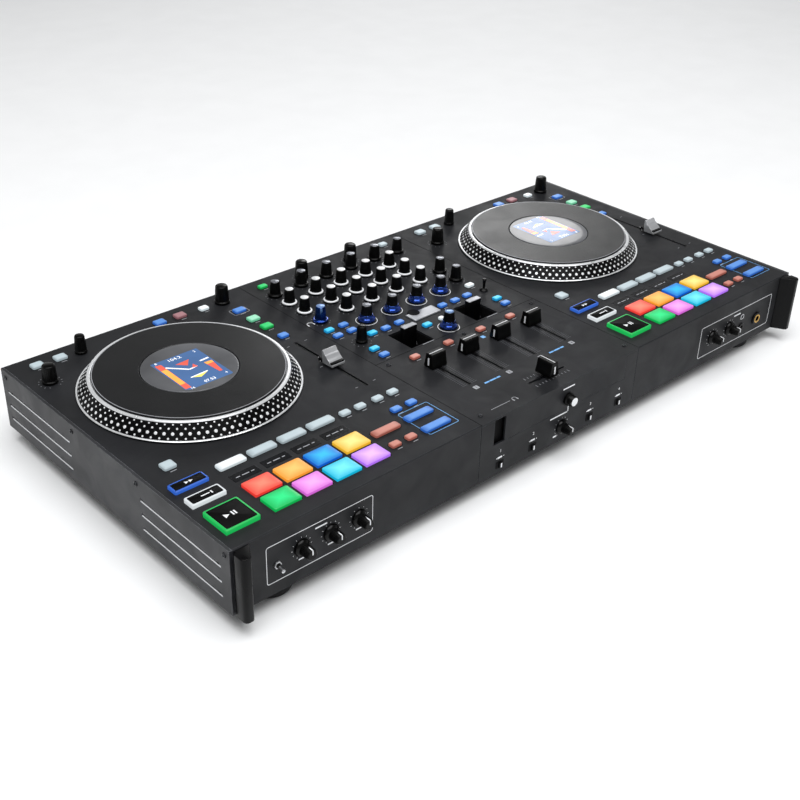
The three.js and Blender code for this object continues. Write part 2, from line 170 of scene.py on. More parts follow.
class StageSettings(PropertyGroup):
    """Camera and light of the studio."""

    azimuth: FloatProperty(
        name="Azimuth", description="Direction that the camera looks from",
        default=math.radians(-43.42), subtype="ANGLE")
    elevation: FloatProperty(
        name="Elevation", description="Height of the camera's direction over the floor",
        default=math.radians(31.17), subtype="ANGLE")
    roll: FloatProperty(
        name="Roll", description="Turn of the camera about its own axis",
        default=math.radians(1.64), subtype="ANGLE")
    distance: FloatProperty(
        name="Distance", description="Distance from the camera to the case, along its axis",
        default=1.24874, min=0.1, unit="LENGTH")
    side_step: FloatProperty(
        name="Side step", description="How far the case lies right of the camera's axis",
        default=0.02935, unit="LENGTH")
    up_step: FloatProperty(
        name="Up step", description="How far the case lies over the camera's axis",
        default=0.03168, unit="LENGTH")
    lens: FloatProperty(
        name="Focal length", description="Focal length on a 36 mm sensor", default=54.28, min=10)
    key_power: FloatProperty(
        name="Key light", description="Power of the large lamp over the case",
        default=95.0, min=0.0, unit="POWER")
    rear_power: FloatProperty(
        name="Rear light", description="Power of the panel that the discs mirror",
        default=9.0, min=0.0, unit="POWER")
    world_light: FloatProperty(
        name="Room light", description="Strength of the light from all round",
        default=0.62, min=0.0)


class ControllerSettings(PropertyGroup):
    """All settings of the controller."""

    case: PointerProperty(type=CaseSettings)
    knobs: PointerProperty(type=KnobSettings)
    pads: PointerProperty(type=PadSettings)
    stage: PointerProperty(type=StageSettings)


def settings():
    """The settings of the current scene."""
    return bpy.context.scene.dj_controller


# ------------------------------------------------------------------ modelling


def only(piece):
    """Selects one object and nothing else."""
    bpy.ops.object.select_all(action="DESELECT")
    piece.select_set(True)
    bpy.context.view_layer.objects.active = piece


def start_plate(width, depth, corner=0.0, segments=3, height=0.0):
    """Starts a flat plate with rounded corners, left in edit mode with its face selected."""
    bpy.ops.object.select_all(action="DESELECT")
    bpy.ops.mesh.primitive_plane_add(size=1)
    bpy.ops.object.mode_set(mode="EDIT")
    bpy.ops.mesh.select_all(action="SELECT")
    bpy.ops.transform.resize(value=(width * MM, depth * MM, 1), center_override=CENTRE)
    if corner:
        bpy.ops.mesh.bevel(offset=corner * MM, segments=segments, affect="VERTICES")
        bpy.ops.mesh.select_all(action="SELECT")
    bpy.ops.transform.translate(value=(0, 0, height * MM))


def draw_up(*steps):
    """Draws the selected face up through (width, depth, height) steps."""
    for before, after in zip(steps, steps[1:]):
        rise = (0, 0, (after[2] - before[2]) * MM)
        bpy.ops.mesh.extrude_region_move(TRANSFORM_OT_translate={"value": rise})
        spread = (after[0] / before[0], after[1] / before[1], 1)
        bpy.ops.transform.resize(value=spread, center_override=CENTRE)


def leave_edit():
    """Turns all faces outwards, leaves edit mode and returns the piece."""
    bpy.ops.mesh.select_mode(type="FACE")
    bpy.ops.mesh.select_all(action="SELECT")
    bpy.ops.mesh.normals_make_consistent(inside=False)
    bpy.ops.object.mode_set(mode="OBJECT")
    return bpy.context.object


def drawn(steps, corner=0.0, segments=3):
    """A piece drawn up from a rounded plate through (width, depth, height) steps."""
    width, depth, height = steps[0]
    start_plate(width, depth, corner, segments, height)
    draw_up(*steps)
    return leave_edit()


def slab(width, depth, bottom, top, corner=0.0, edge=0.15, segments=3):
    """A plate with rounded corners and softened upper edges."""
    return drawn([(width, depth, bottom), (width, depth, top - edge),
                  (width - 2 * edge, depth - 2 * edge, top)], corner, segments)


def flat_shape(points, bottom, top):
    """A thin plate whose outline runs through (across, back) points."""
    bpy.ops.object.select_all(action="DESELECT")
    bpy.ops.mesh.primitive_plane_add(size=MM)
    bpy.ops.object.mode_set(mode="EDIT")
    bpy.ops.mesh.select_mode(type="VERT")
    bpy.ops.mesh.select_all(action="SELECT")
    bpy.ops.mesh.merge(type="CENTER")
    bpy.ops.transform.translate(value=(points[0][0] * MM, points[0][1] * MM, bottom * MM))
    for before, after in zip(points, points[1:]):
        step = ((after[0] - before[0]) * MM, (after[1] - before[1]) * MM, 0)
        bpy.ops.mesh.extrude_vertices_move(TRANSFORM_OT_translate={"value": step})
    bpy.ops.mesh.select_all(action="SELECT")
    bpy.ops.mesh.edge_face_add()
    bpy.ops.mesh.select_mode(type="FACE")
    bpy.ops.mesh.extrude_region_move(TRANSFORM_OT_translate={"value": (0, 0, (top - bottom) * MM)})
    return leave_edit()


def draw_outline(outline):
    """Starts a piece as a chain of edges through (radius, height) points, in the XZ plane."""
    bpy.ops.object.select_all(action="DESELECT")
    bpy.ops.mesh.primitive_plane_add(size=MM)
    bpy.ops.object.mode_set(mode="EDIT")
    bpy.ops.mesh.select_mode(type="VERT")
    bpy.ops.mesh.select_all(action="SELECT")
    bpy.ops.mesh.merge(type="CENTER")
    bpy.ops.transform.translate(value=(outline[0][0] * MM, 0, outline[0][1] * MM))
    for before, after in zip(outline, outline[1:]):
        step = ((after[0] - before[0]) * MM, 0, (after[1] - before[1]) * MM)
        bpy.ops.mesh.extrude_vertices_move(TRANSFORM_OT_translate={"value": step})
    bpy.ops.mesh.select_all(action="SELECT")


def spun(sides, outline):
    """A turned piece: the outline spun round the upright axis. It ends on the axis or on itself."""
    draw_outline(outline)
    bpy.ops.mesh.spin(steps=sides, angle=math.tau, center=CENTRE, axis=UPRIGHT)
    bpy.ops.mesh.select_all(action="SELECT")
    bpy.ops.mesh.remove_doubles(threshold=1e-6)
    bpy.ops.mesh.delete_loose()
    return leave_edit()


def ring(sides, inner, outer, bottom, top, edge=0.1):
    """A flat ring with softened upper edges."""
    return spun(sides, [(inner, bottom), (outer, bottom), (outer, top - edge), (outer - edge, top),
                        (inner + edge, top), (inner, top - edge), (inner, bottom)])


def pick(test, kind="FACE"):
    """In edit mode, selects the faces or edges whose middle (in mm) and direction pass a test."""
    bpy.ops.mesh.select_mode(type=kind)
    bpy.ops.mesh.select_all(action="DESELECT")
    shape = bmesh.from_edit_mesh(bpy.context.object.data)
    if kind == "FACE":
        for face in shape.faces:
            face.select_set(test(face.calc_center_median() / MM, face.normal))
    else:
        for edge in shape.edges:
            first, second = (vertex.co for vertex in edge.verts)
            edge.select_set(test((first + second) / 2 / MM, (second - first).normalized()))
    bmesh.update_edit_mesh(bpy.context.object.data)


def flute(piece, count, low, high, depth):
    """Sinks every other side face between two heights, as the grip of a knob."""
    only(piece)
    bpy.ops.object.mode_set(mode="EDIT")

    def grip(middle, normal):
        turn = math.atan2(middle.y, middle.x) / math.tau * count
        return low < middle.z < high and abs(normal.z) < 0.3 and round(turn - 0.25) % 2 == 0

    pick(grip)
    bpy.ops.mesh.inset(thickness=0.12 * MM, depth=-depth * MM, use_individual=True)
    return leave_edit()


def soften(piece, width, segments=2, angle=math.radians(35)):
    """Rounds a piece's sharp edges."""
    only(piece)
    bevel = piece.modifiers.new("soft edges", "BEVEL")
    bevel.width = width * MM
    bevel.segments = segments
    bevel.limit_method = "ANGLE"
    bevel.angle_limit = angle
    bevel.harden_normals = False
    bpy.ops.object.modifier_apply(modifier=bevel.name)
    return piece


def smooth(piece, angle=math.radians(32)):
    """Shades a piece smooth, apart from its sharp edges."""
    only(piece)
    bpy.ops.object.shade_smooth_by_angle(angle=angle)
    return piece


def put(piece, spot, turn=0.0, stand=None):
    """Moves a mesh to its place: stood up by stand, turned about the upright axis, then moved."""
    matrix = Matrix.Translation(spot) @ Matrix.Rotation(turn, 4, "Z")
    if stand is not None:
        matrix = matrix @ stand
    piece.data.transform(matrix)
    piece.data.update()
    return piece


FACING_FRONT = Matrix.Rotation(math.radians(90), 4, "X")
FACING_BACK = Matrix.Rotation(math.radians(180), 4, "Z") @ FACING_FRONT
FACING_LEFT = Matrix.Rotation(math.radians(-90), 4, "Z") @ FACING_FRONT
FACING_RIGHT = Matrix.Rotation(math.radians(90), 4, "Z") @ FACING_FRONT
SIDE_FACES = (("left", -1, FACING_LEFT), ("right", 1, FACING_RIGHT))
SOCKET_HEIGHT = 32.0


def at_front(piece, across, height, out=0.0):
    """Moves a piece to its place on the front face, standing out from it."""
    return put(piece, on_front(across, height, out), stand=FACING_FRONT)


def at_back(piece, across, height=SOCKET_HEIGHT):
    """Moves a piece to its place on the rear wall, standing out from it."""
    return put(piece, on_back(across, height), stand=FACING_BACK)


def on_side(sign, along, height, inward=0.0):
    """A spot on a side panel, in millimetres from its middle and its lower edge."""
    return Vector((sign * (CASE_HALF - inward * MM), CASE_MIDDLE + along * MM,
                   CASE_BOTTOM + height * MM))


def twin(piece):
    """A copy of a piece with its own mesh."""
    copy = piece.copy()
    copy.data = piece.data.copy()
    bpy.context.collection.objects.link(copy)
    return copy


def scrap(*pieces):
    """Removes masters that have been copied."""
    for piece in pieces:
        bpy.data.objects.remove(piece)


def joined(pieces):
    """Joins pieces into one."""
    pieces = list(pieces)
    only(pieces[0])
    for piece in pieces:
        piece.select_set(True)
    if len(pieces) > 1:
        bpy.ops.object.join()
    return bpy.context.object


def keep(piece, name, material, body="root", replaces=()):
    """Names a finished piece, gives it its finish and says what it rides on."""
    piece.name = name
    piece.data.name = name
    if material is not None:
        piece.data.materials.clear()
        piece.data.materials.append(material)
    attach(piece, body)
    if replaces:
        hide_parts(*replaces)
    return piece


def cad_copy(node):
    """A merged copy of a CAD node, ready to be refined."""
    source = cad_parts[node]
    copy = bpy.data.objects.new(node + "_fine", source.data.copy())
    bpy.context.collection.objects.link(copy)
    copy.data.transform(source.matrix_world)
    only(copy)
    bpy.ops.object.mode_set(mode="EDIT")
    bpy.ops.mesh.select_all(action="SELECT")
    bpy.ops.mesh.remove_doubles(threshold=1e-6)
    bpy.ops.mesh.dissolve_limited(angle_limit=math.radians(1))
    bpy.ops.object.mode_set(mode="OBJECT")
    return copy


# ------------------------------------------------------------------ shader effects


def node(tree, kind, inputs=(), **attributes):
    """Adds a node; an input is a value or the socket that feeds it."""
    made = tree.nodes.new(kind)
    for name, value in attributes.items():
        setattr(made, name, value)
    for key, value in dict(inputs).items():
        if isinstance(value, bpy.types.NodeSocket):
            tree.links.new(value, made.inputs[key])
        else:
            made.inputs[key].default_value = value
    return made


def effect(name, inputs, outputs):
    """A new shader group with its sockets. Returns the group, its input node and its output node."""
    group = bpy.data.node_groups.new(name, "ShaderNodeTree")
    for socket, value in inputs.items():
        kind = "NodeSocketVector" if isinstance(value, tuple) else "NodeSocketFloat"
        group.interface.new_socket(name=socket, in_out="INPUT", socket_type=kind).default_value = value
    for socket in outputs:
        group.interface.new_socket(name=socket, in_out="OUTPUT", socket_type="NodeSocketFloat")
    return group, group.nodes.new("NodeGroupInput"), group.nodes.new("NodeGroupOutput")


def ranged(tree, value, low, high, to_low=0.0, to_high=1.0):
    """A value moved from one range to another and held inside it."""
    inputs = {"Value": value, "From Min": low, "From Max": high, "To Min": to_low, "To Max": to_high}
    return node(tree, "ShaderNodeMapRange", inputs).outputs["Result"]


def product(tree, first, second):
    """Two values multiplied."""
    return node(tree, "ShaderNodeMath", {0: first, 1: second}, operation="MULTIPLY").outputs[0]


def edge_wear():
    """Mask of the edges, where the rounded normal leaves the true one, broken up in patches; the edges
    are partly rubbed wear and partly a painted highlight.
    """
    if "edge wear" in bpy.data.node_groups:
        return bpy.data.node_groups["edge wear"]
    group, given, result = effect("edge wear", {"Radius": 0.0006, "Amount": 0.6}, ["Mask"])
    rounded = node(group, "ShaderNodeBevel", {"Radius": given.outputs["Radius"]}, samples=4)
    true = node(group, "ShaderNodeNewGeometry")
    facing = node(group, "ShaderNodeVectorMath",
                  {0: rounded.outputs[0], 1: true.outputs["Normal"]}, operation="DOT_PRODUCT")
    sharp = ranged(group, facing.outputs["Value"], 0.995, 0.9)
    place = node(group, "ShaderNodeTexCoord").outputs["Object"]
    patches = node(group, "ShaderNodeTexNoise", {"Vector": place, "Scale": 160.0, "Detail": 4.0})
    broken = ranged(group, patches.outputs["Fac"], 0.35, 0.6, 0.25, 1.0)
    mask = product(group, product(group, sharp, broken), given.outputs["Amount"])
    group.links.new(mask, result.inputs["Mask"])
    return group


def fine_grain():
    """Fine grain of paint or moulded plastic: a height for bump and a slow change of tone."""
    if "fine grain" in bpy.data.node_groups:
        return bpy.data.node_groups["fine grain"]
    group, given, result = effect("fine grain", {"Scale": 2500.0}, ["Height", "Tone"])
    place = node(group, "ShaderNodeTexCoord").outputs["Object"]
    grain = node(group, "ShaderNodeTexNoise",
                 {"Vector": place, "Scale": given.outputs["Scale"], "Detail": 2.0})
    cloud = node(group, "ShaderNodeTexNoise", {"Vector": place, "Scale": 14.0, "Detail": 3.0})
    group.links.new(grain.outputs["Fac"], result.inputs["Height"])
    group.links.new(cloud.outputs["Fac"], result.inputs["Tone"])
    return group


def handling():
    """Roughness that drifts between two values, as hands and cloths leave it."""
    if "handling" in bpy.data.node_groups:
        return bpy.data.node_groups["handling"]
    group, given, result = effect("handling", {"Low": 0.4, "High": 0.55}, ["Roughness"])
    place = node(group, "ShaderNodeTexCoord").outputs["Object"]
    smears = node(group, "ShaderNodeTexNoise",
                  {"Vector": place, "Scale": 32.0, "Detail": 5.0, "Distortion": 0.8})
    amount = node(group, "ShaderNodeMapRange", {
        "Value": smears.outputs["Fac"], "From Min": 0.3, "From Max": 0.7,
        "To Min": given.outputs["Low"], "To Max": given.outputs["High"]})
    group.links.new(amount.outputs["Result"], result.inputs["Roughness"])
    return group


def turning_marks():
    """Fine rings round an upright axis, as a lathe leaves them."""
    if "turning marks" in bpy.data.node_groups:
        return bpy.data.node_groups["turning marks"]
    group, given, result = effect("turning marks", {"Axis": CENTRE, "Pitch": 0.0006}, ["Height"])
    place = node(group, "ShaderNodeTexCoord").outputs["Object"]
    offset = node(group, "ShaderNodeVectorMath",
                  {0: place, 1: given.outputs["Axis"]}, operation="SUBTRACT")
    flat = node(group, "ShaderNodeVectorMath",
                {0: offset.outputs[0], 1: (1, 1, 0)}, operation="MULTIPLY")
    radius = node(group, "ShaderNodeVectorMath", {0: flat.outputs[0]}, operation="LENGTH")
    rings = node(group, "ShaderNodeMath",
                 {0: radius.outputs["Value"], 1: given.outputs["Pitch"]}, operation="DIVIDE")
    turned = product(group, rings.outputs[0], math.tau)
    wave = node(group, "ShaderNodeMath", {0: turned}, operation="SINE")
    group.links.new(wave.outputs[0], result.inputs["Height"])
    return group


def lit_middle():
    """How far a spot lies towards the lit middle of its pad or key, from the piece's own attribute."""
    if "lit middle" in bpy.data.node_groups:
        return bpy.data.node_groups["lit middle"]
    group, given, result = effect("lit middle", {"Softness": 1.0}, ["Glow"])
    glow = node(group, "ShaderNodeAttribute", attribute_name="glow").outputs["Fac"]
    spread = node(group, "ShaderNodeMath", {0: glow, 1: given.outputs["Softness"]}, operation="POWER")
    group.links.new(spread.outputs[0], result.inputs["Glow"])
    return group


# ------------------------------------------------------------------ finishes


def mixed(tree, factor, first, second, blend="MIX"):
    """Two colours mixed by a factor."""
    made = node(tree, "ShaderNodeMix", {"Factor": factor}, data_type="RGBA", blend_type=blend)
    for socket, value in ((made.inputs[6], first), (made.inputs[7], second)):
        if isinstance(value, bpy.types.NodeSocket):
            tree.links.new(value, socket)
        else:
            socket.default_value = value
    return made.outputs[2]


def surface(name, colour, roughness, metallic=0.0, wear_and_highlight="6a6c72", wear_and_highlight_amount=0.35, grain=2500.0,
            bump=0.12, tone=0.25, spread=0.08, rounding=0.0004, coat=0.0, coat_roughness=0.1,
            specular=0.5, rings=None):
    """A painted, moulded or metal finish with grain, drifting gloss, tone changes and lighter edges that
    are partly rubbed wear and partly painted highlight.
    """
    if f"{name}_finish" in bpy.data.materials:
        return bpy.data.materials[f"{name}_finish"]
    material = bpy.data.materials.new(f"{name}_finish")
    material.use_nodes = True
    tree = material.node_tree
    shader = tree.nodes["Principled BSDF"]
    base = colour if isinstance(colour, tuple) else shade(colour)
    grains = node(tree, "ShaderNodeGroup", node_tree=fine_grain())
    grains.inputs["Scale"].default_value = grain
    darker = (*[channel * (1 - tone) for channel in base[:3]], 1.0)
    lighter = (*[min(1.0, channel * (1 + tone)) for channel in base[:3]], 1.0)
    drift = ranged(tree, grains.outputs["Tone"], 0.35, 0.65)
    body = mixed(tree, drift, darker, lighter)
    # The edges take the edge colour: partly rubbed wear, partly a painted highlight where edges catch
    # the light.
    edge_mask = node(tree, "ShaderNodeGroup", node_tree=edge_wear())
    edge_mask.inputs["Radius"].default_value = rounding * 1.5
    edge_mask.inputs["Amount"].default_value = wear_and_highlight_amount
    tree.links.new(mixed(tree, edge_mask.outputs["Mask"], body, shade(wear_and_highlight)), shader.inputs["Base Color"])
    gloss = node(tree, "ShaderNodeGroup", node_tree=handling())
    gloss.inputs["Low"].default_value = roughness - spread
    gloss.inputs["High"].default_value = roughness + spread
    tree.links.new(gloss.outputs["Roughness"], shader.inputs["Roughness"])
    rounded = node(tree, "ShaderNodeBevel", {"Radius": rounding}, samples=4)
    normal = node(tree, "ShaderNodeBump", {
        "Height": grains.outputs["Height"], "Strength": bump, "Distance": 0.0001,
        "Normal": rounded.outputs[0]})
    if rings is not None:
        marks = node(tree, "ShaderNodeGroup", node_tree=turning_marks())
        marks.inputs["Axis"].default_value = rings
        normal = node(tree, "ShaderNodeBump", {
            "Height": marks.outputs["Height"], "Strength": 0.12, "Distance": 0.00008,
            "Normal": normal.outputs[0]})
    tree.links.new(normal.outputs[0], shader.inputs["Normal"])
    shader.inputs["Metallic"].default_value = metallic
    shader.inputs["Coat Weight"].default_value = coat
    shader.inputs["Coat Roughness"].default_value = coat_roughness
    shader.inputs["Specular IOR Level"].default_value = specular
    return material


def cover_paint():
    return surface("cover_paint", tuple(settings().case.cover_colour), 0.58, wear_and_highlight="4a4c52",
                   bump=0.3, grain=2000.0, wear_and_highlight_amount=0.5, rounding=0.0006, specular=0.28)


def side_paint():
    return surface("side_paint", tuple(settings().case.side_colour), 0.5, wear_and_highlight="8b8d92",
                   bump=0.25, grain=2000.0, wear_and_highlight_amount=0.6, rounding=0.0006, specular=0.5)


def pan_paint():
    return surface("pan_paint", "1a1b1d", 0.55, wear_and_highlight="4d4f53", bump=0.2)


def black_plastic():
    return surface("black_plastic", "040405", 0.3, wear_and_highlight="2c2d30", wear_and_highlight_amount=0.4, specular=0.15)


# Matte near-black for wells, holes, surrounds and bezels; also painted shade in the cover gaps, the
# front notch and on the effect plate.
def well_black():
    return surface("well_black", "050506", 0.7, wear_and_highlight="151517", wear_and_highlight_amount=0.2, specular=0.2)


def foot_rubber():
    return surface("foot_rubber", "101011", 0.85, wear_and_highlight="2c2c2e", grain=1500.0, bump=0.4)


def knob_rubber():
    return surface("knob_rubber", "030303", 0.34, wear_and_highlight="1a1b1d", wear_and_highlight_amount=0.4, grain=4000.0,
                   bump=0.08, rounding=0.0003, specular=0.15)


def knob_gloss():
    return surface("knob_gloss", "030303", 0.2, wear_and_highlight="2c2d30", bump=0.03, rounding=0.0003, specular=0.2)


def label_black():
    return surface("label_black", "030303", 0.5, wear_and_highlight="101011", bump=0.03, specular=0.08)


def blue_metal():
    return surface("blue_metal", tuple(settings().knobs.skirt_colour), 0.2, metallic=1.0,
                   wear_and_highlight="7fa6ff", wear_and_highlight_amount=0.5, bump=0.03, coat=0.6, rounding=0.0003)


def dark_blue_metal():
    return surface("dark_blue_metal", "0b2a66", 0.25, metallic=1.0, wear_and_highlight="5f8fe0", wear_and_highlight_amount=0.5,
                   bump=0.03, rounding=0.0003)


def cap_silver():
    return surface("cap_silver", "e6e8ea", 0.32, metallic=0.35, wear_and_highlight="ffffff", tone=0.06, bump=0.05)


def cap_grey():
    return surface("cap_grey", "8f9299", 0.25, metallic=0.6, wear_and_highlight="d8dade", tone=0.1, bump=0.05)


def cap_blue():
    return surface("cap_blue", "7f9fd0", 0.25, metallic=0.5, wear_and_highlight="cfe4ff", tone=0.1, bump=0.05)


def chrome():
    return surface("chrome", "d8dadd", 0.24, metallic=0.7, wear_and_highlight="ffffff", tone=0.05, bump=0.03,
                   spread=0.05)


def dot_silver():
    return surface("dot_silver", "eef0f2", 0.3, metallic=0.25, wear_and_highlight="ffffff", tone=0.08, bump=0.03,
                   rounding=0.0001)


def bright_steel():
    return surface("bright_steel", "c8cacd", 0.24, metallic=1.0, wear_and_highlight="ffffff", tone=0.1, bump=0.06)


def brushed_silver():
    return surface("brushed_silver", "9c9ea3", 0.36, metallic=0.6, wear_and_highlight="e8eaec", tone=0.25, bump=0.1)


def brass():
    return surface("brass", "d0a75c", 0.25, metallic=1.0, wear_and_highlight="ffe2a6", tone=0.1, bump=0.05)


def screw_black():
    return surface("screw_black", "17181a", 0.3, metallic=0.7, wear_and_highlight="7d8086", wear_and_highlight_amount=0.7)


def white_print():
    return surface("white_print", "e9ebee", 0.5, wear_and_highlight="ffffff", tone=0.05, bump=0.05, rounding=0.00003)


def grey_print():
    return surface("grey_print", "9a9ca1", 0.5, wear_and_highlight="c9cbd0", tone=0.08, bump=0.05, rounding=0.00003)


def dim_print():
    return surface("dim_print", "4e5055", 0.5, wear_and_highlight="6a6c70", tone=0.08, bump=0.05, rounding=0.00003)


def blue_print():
    return surface("blue_print", "6aa9e2", 0.45, wear_and_highlight="a9c8ff", tone=0.08, bump=0.05, rounding=0.00003)


def platter_metal(side):
    return surface(f"{side}_platter_metal", "eceef0", 0.3, metallic=0.55, wear_and_highlight="ffffff", tone=0.06,
                   bump=0.04, rings=tuple(PLATTER_AXIS[side]))


def platter_black(side):
    return surface(f"{side}_platter_black", "030304", 0.34, wear_and_highlight="121214", bump=0.05,
                   specular=0.12, rings=tuple(PLATTER_AXIS[side]))


def disc_plastic(side):
    return surface(f"{side}_disc_plastic", "0a0b0d", 0.33, wear_and_highlight="4c4e54", bump=0.08, tone=0.1,
                   rings=tuple(PLATTER_AXIS[side]), spread=0.04, specular=0.34)


def display_glass():
    return surface("display_glass", "595a5d", 0.16, wear_and_highlight="a9acb3", bump=0.01, tone=0.3, spread=0.03,
                   specular=0.3)


def window_black():
    return surface("window_black", "0c0d10", 0.2, wear_and_highlight="2a2c30", bump=0.01, specular=0.3)


def lit(name, edge, core, light, roughness=0.38, softness=1.0):
    """Translucent silicone or plastic lit from below: brighter and paler towards its middle."""
    if f"{name}_finish" in bpy.data.materials:
        return bpy.data.materials[f"{name}_finish"]
    body = (*[channel * 0.4 for channel in shade(edge)[:3]], 1.0)
    material = surface(name, body, roughness, wear_and_highlight=core, wear_and_highlight_amount=0.3, bump=0.06, tone=0.08,
                       rounding=0.0005)
    tree = material.node_tree
    shader = tree.nodes["Principled BSDF"]
    middle = node(tree, "ShaderNodeGroup", node_tree=lit_middle())
    middle.inputs["Softness"].default_value = softness
    colour = mixed(tree, middle.outputs["Glow"], shade(edge), shade(core))
    tree.links.new(colour, shader.inputs["Emission Color"])
    shader.inputs["Emission Strength"].default_value = light
    return material


# ------------------------------------------------------------------ case


SCREW_SPOTS = ((-99.7, -47.2), (-1.0, -48.8), (99.8, -46.0), (-98.6, -165.7), (100.9, -166.4))
SIDE_SCREWS = (-171.4, -50.5, 51.3, 170.5)
SIDE_SCREW_HEIGHT = 55.0
PADDLE_WELL = {"width": 29.4, "depth": 33.9, "middle": -20.25, "floor": -24.0}
GROOVE_HEIGHTS = (13.0, 27.0, 41.5)
GROOVE_SPANS = ((-166.0, -55.0), (58.0, 169.0))
GROOVE_HOLES = (-161.0, 164.0)
# The notch in the front face: its place across and up, and how far in its floor lies.
NOTCH = (-85.0, 46.0, -6.0)


def screw():
    """A low domed screw; its six-sided socket is drawn as a round sunken recess."""
    head = spun(20, [(0, -0.2), (2.4, -0.2), (2.4, 0.3), (2.1, 0.8), (1.5, 1.05), (0, 1.05)])
    only(head)
    bpy.ops.object.mode_set(mode="EDIT")
    pick(lambda middle, normal: middle.z > 0.95)
    bpy.ops.mesh.dissolve_faces()
    bpy.ops.mesh.inset(thickness=0.35 * MM, depth=0)
    bpy.ops.mesh.extrude_region_move(TRANSFORM_OT_translate={"value": (0, 0, -0.6 * MM)})
    return smooth(leave_edit())


class CONTROLLER_OT_case(Operator):
    """Paint the case and add its guards, screws, well liners and feet"""

    bl_idname = "controller.case"
    bl_label = "Case"

    def execute(self, context):
        finishes = {
            "left_deck_cover": cover_paint, "right_deck_cover": cover_paint,
            "mixer_cover": cover_paint, "fader_plate": cover_paint, "mixer_front_panel": cover_paint,
            "left_side_panel": side_paint, "right_side_panel": side_paint,
            "base_pan": pan_paint, "power_inlet": black_plastic, "main_board": circuit_board,
            "left_platter_motor": pan_paint, "right_platter_motor": pan_paint,
        }
        for name, finish in finishes.items():
            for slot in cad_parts[name].material_slots:
                slot.material = finish()
        self.guards()
        self.screws()
        self.feet()
        self.wells()
        self.grooves()
        self.underside()
        return {"FINISHED"}

    def underside(self):
        """A thin black plate under the pan, whose edge shows below the front."""
        plate = drawn([(748, 352, -1.6), (749, 353, -1.2), (749, 353, 0)], corner=3.0)
        put(plate, Vector((0, CASE_MIDDLE, CASE_BOTTOM)))
        keep(plate, "underside_plate", black_plastic())

    def guards(self):
        rounding = settings().case.edge_rounding / MM
        for side in SIDES:
            guard = smooth(soften(cad_copy(f"{side}_corner_guard"), rounding, 3), math.radians(40))
            keep(guard, f"{side}_guard", black_plastic(),
                 replaces=[f"{side}_corner_guard"])

    def screws(self):
        master = screw()
        for number, (x, y) in enumerate(SCREW_SPOTS, 1):
            head = put(twin(master), on_mixer(x, y))
            keep(head, f"plate_screw_{number}", screw_black())
        for side, sign, facing in SIDE_FACES:
            for number, along in enumerate(SIDE_SCREWS, 1):
                head = put(twin(master), on_side(sign, along, SIDE_SCREW_HEIGHT), stand=facing)
                keep(head, f"{side}_side_screw_{number}", screw_black())
        scrap(master)

    def feet(self):
        for end in ("front", "rear"):
            for side in SIDES:
                name = f"foot_{end}_{side}"
                low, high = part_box(name)
                radius = (high.x - low.x) / 2 / MM
                top = (high.z - low.z) / MM
                foot = spun(48, [(0, 1.2), (radius - 6, 1.2), (radius - 6.5, 0), (radius - 2, 0),
                                 (radius - 0.4, 1.0), (radius, 2.4), (radius, top - 5),
                                 (radius - 0.8, top - 4.4), (radius - 0.8, top - 3.4),
                                 (radius, top - 2.8), (radius, top), (0, top)])
                put(smooth(foot), Vector(((low.x + high.x) / 2, (low.y + high.y) / 2, low.z)))
                keep(foot, f"rubber_{name}", foot_rubber(), replaces=[name])

    def wells(self):
        """Open boxes under the cover, so that the inside of the case stays out of sight."""
        size = PADDLE_WELL
        for side in SIDES:
            x = middle_of(f"{side}_effect_paddle").x
            wide, deep = size["width"] + 3, size["depth"] + 3
            well = drawn([(wide, deep, size["floor"]), (wide, deep, -2.4),
                          (size["width"], size["depth"], -2.4),
                          (size["width"], size["depth"], size["floor"] + 1.5)])
            put(well, Vector((x, CASE_MIDDLE + size["middle"] * MM, DECK_TOP)))
            keep(well, f"{side}_paddle_well", well_black())
        # Painted shade: a near-black sheet at the back of the front notch, where its walls lie in
        # shadow.
        notch_shade = at_front(slab(18.0, 30.0, 0, 0.6), *NOTCH)
        keep(notch_shade, "notch_painted_shade", well_black())

    def grooves(self):
        """A painted highlight: a bright line along the lower edge of each groove of the side panels, and
        its end holes.
        """
        for side, sign, facing in SIDE_FACES:
            lines, holes = [], []
            for height in GROOVE_HEIGHTS:
                for front, back in GROOVE_SPANS:
                    # Painted highlight on the groove's lower edge, where it catches the light.
                    line = slab(0.75, back - front, 0, 0.8, edge=0.1)
                    lines.append(put(line, on_side(sign, (front + back) / 2, height - 1.7, 0.42)))
            keep(joined(lines), f"{side}_groove_highlights", white_print())
            for height in GROOVE_HEIGHTS:
                for end in GROOVE_HOLES:
                    hole = spun(12, [(0, -0.9), (1.5, -0.9), (1.5, -0.55), (0, -0.55)])
                    holes.append(put(hole, on_side(sign, end, height), stand=facing))
            keep(joined(holes), f"{side}_groove_holes", well_black())


def circuit_board():
    return surface("circuit_board", "17512c", 0.45, wear_and_highlight="3c8a58", grain=900.0, bump=0.1)


# ------------------------------------------------------------------ platters


# Share of the way down the sloping band and dot radius of each ring of dots.
STROBE_ROWS = ((0.1, 0.8), (0.33, 0.95), (0.62, 1.5), (0.89, 0.95))
STROBE_DOTS = 84
# Radius and height of the sloping band's lower and upper edge.
BAND_FOOT = (99.9, 2.3)
BAND_HEAD = (90.9, 14.4)
# How much higher the top disc and the display lie than their outlines say.
DISC_LIFT = 3.0
SCREEN_TOP = 13.9
SCREEN_LIGHT = {"left": 0.5, "right": 0.4}
SCREEN = {"width": 49.5, "depth": 59.0, "across": -1.0, "back": -4.6}
SCREEN_COLOURS = {"red": "d0594a", "amber": "eda04a", "white": "f4f6fa", "yellow": "dccf63"}
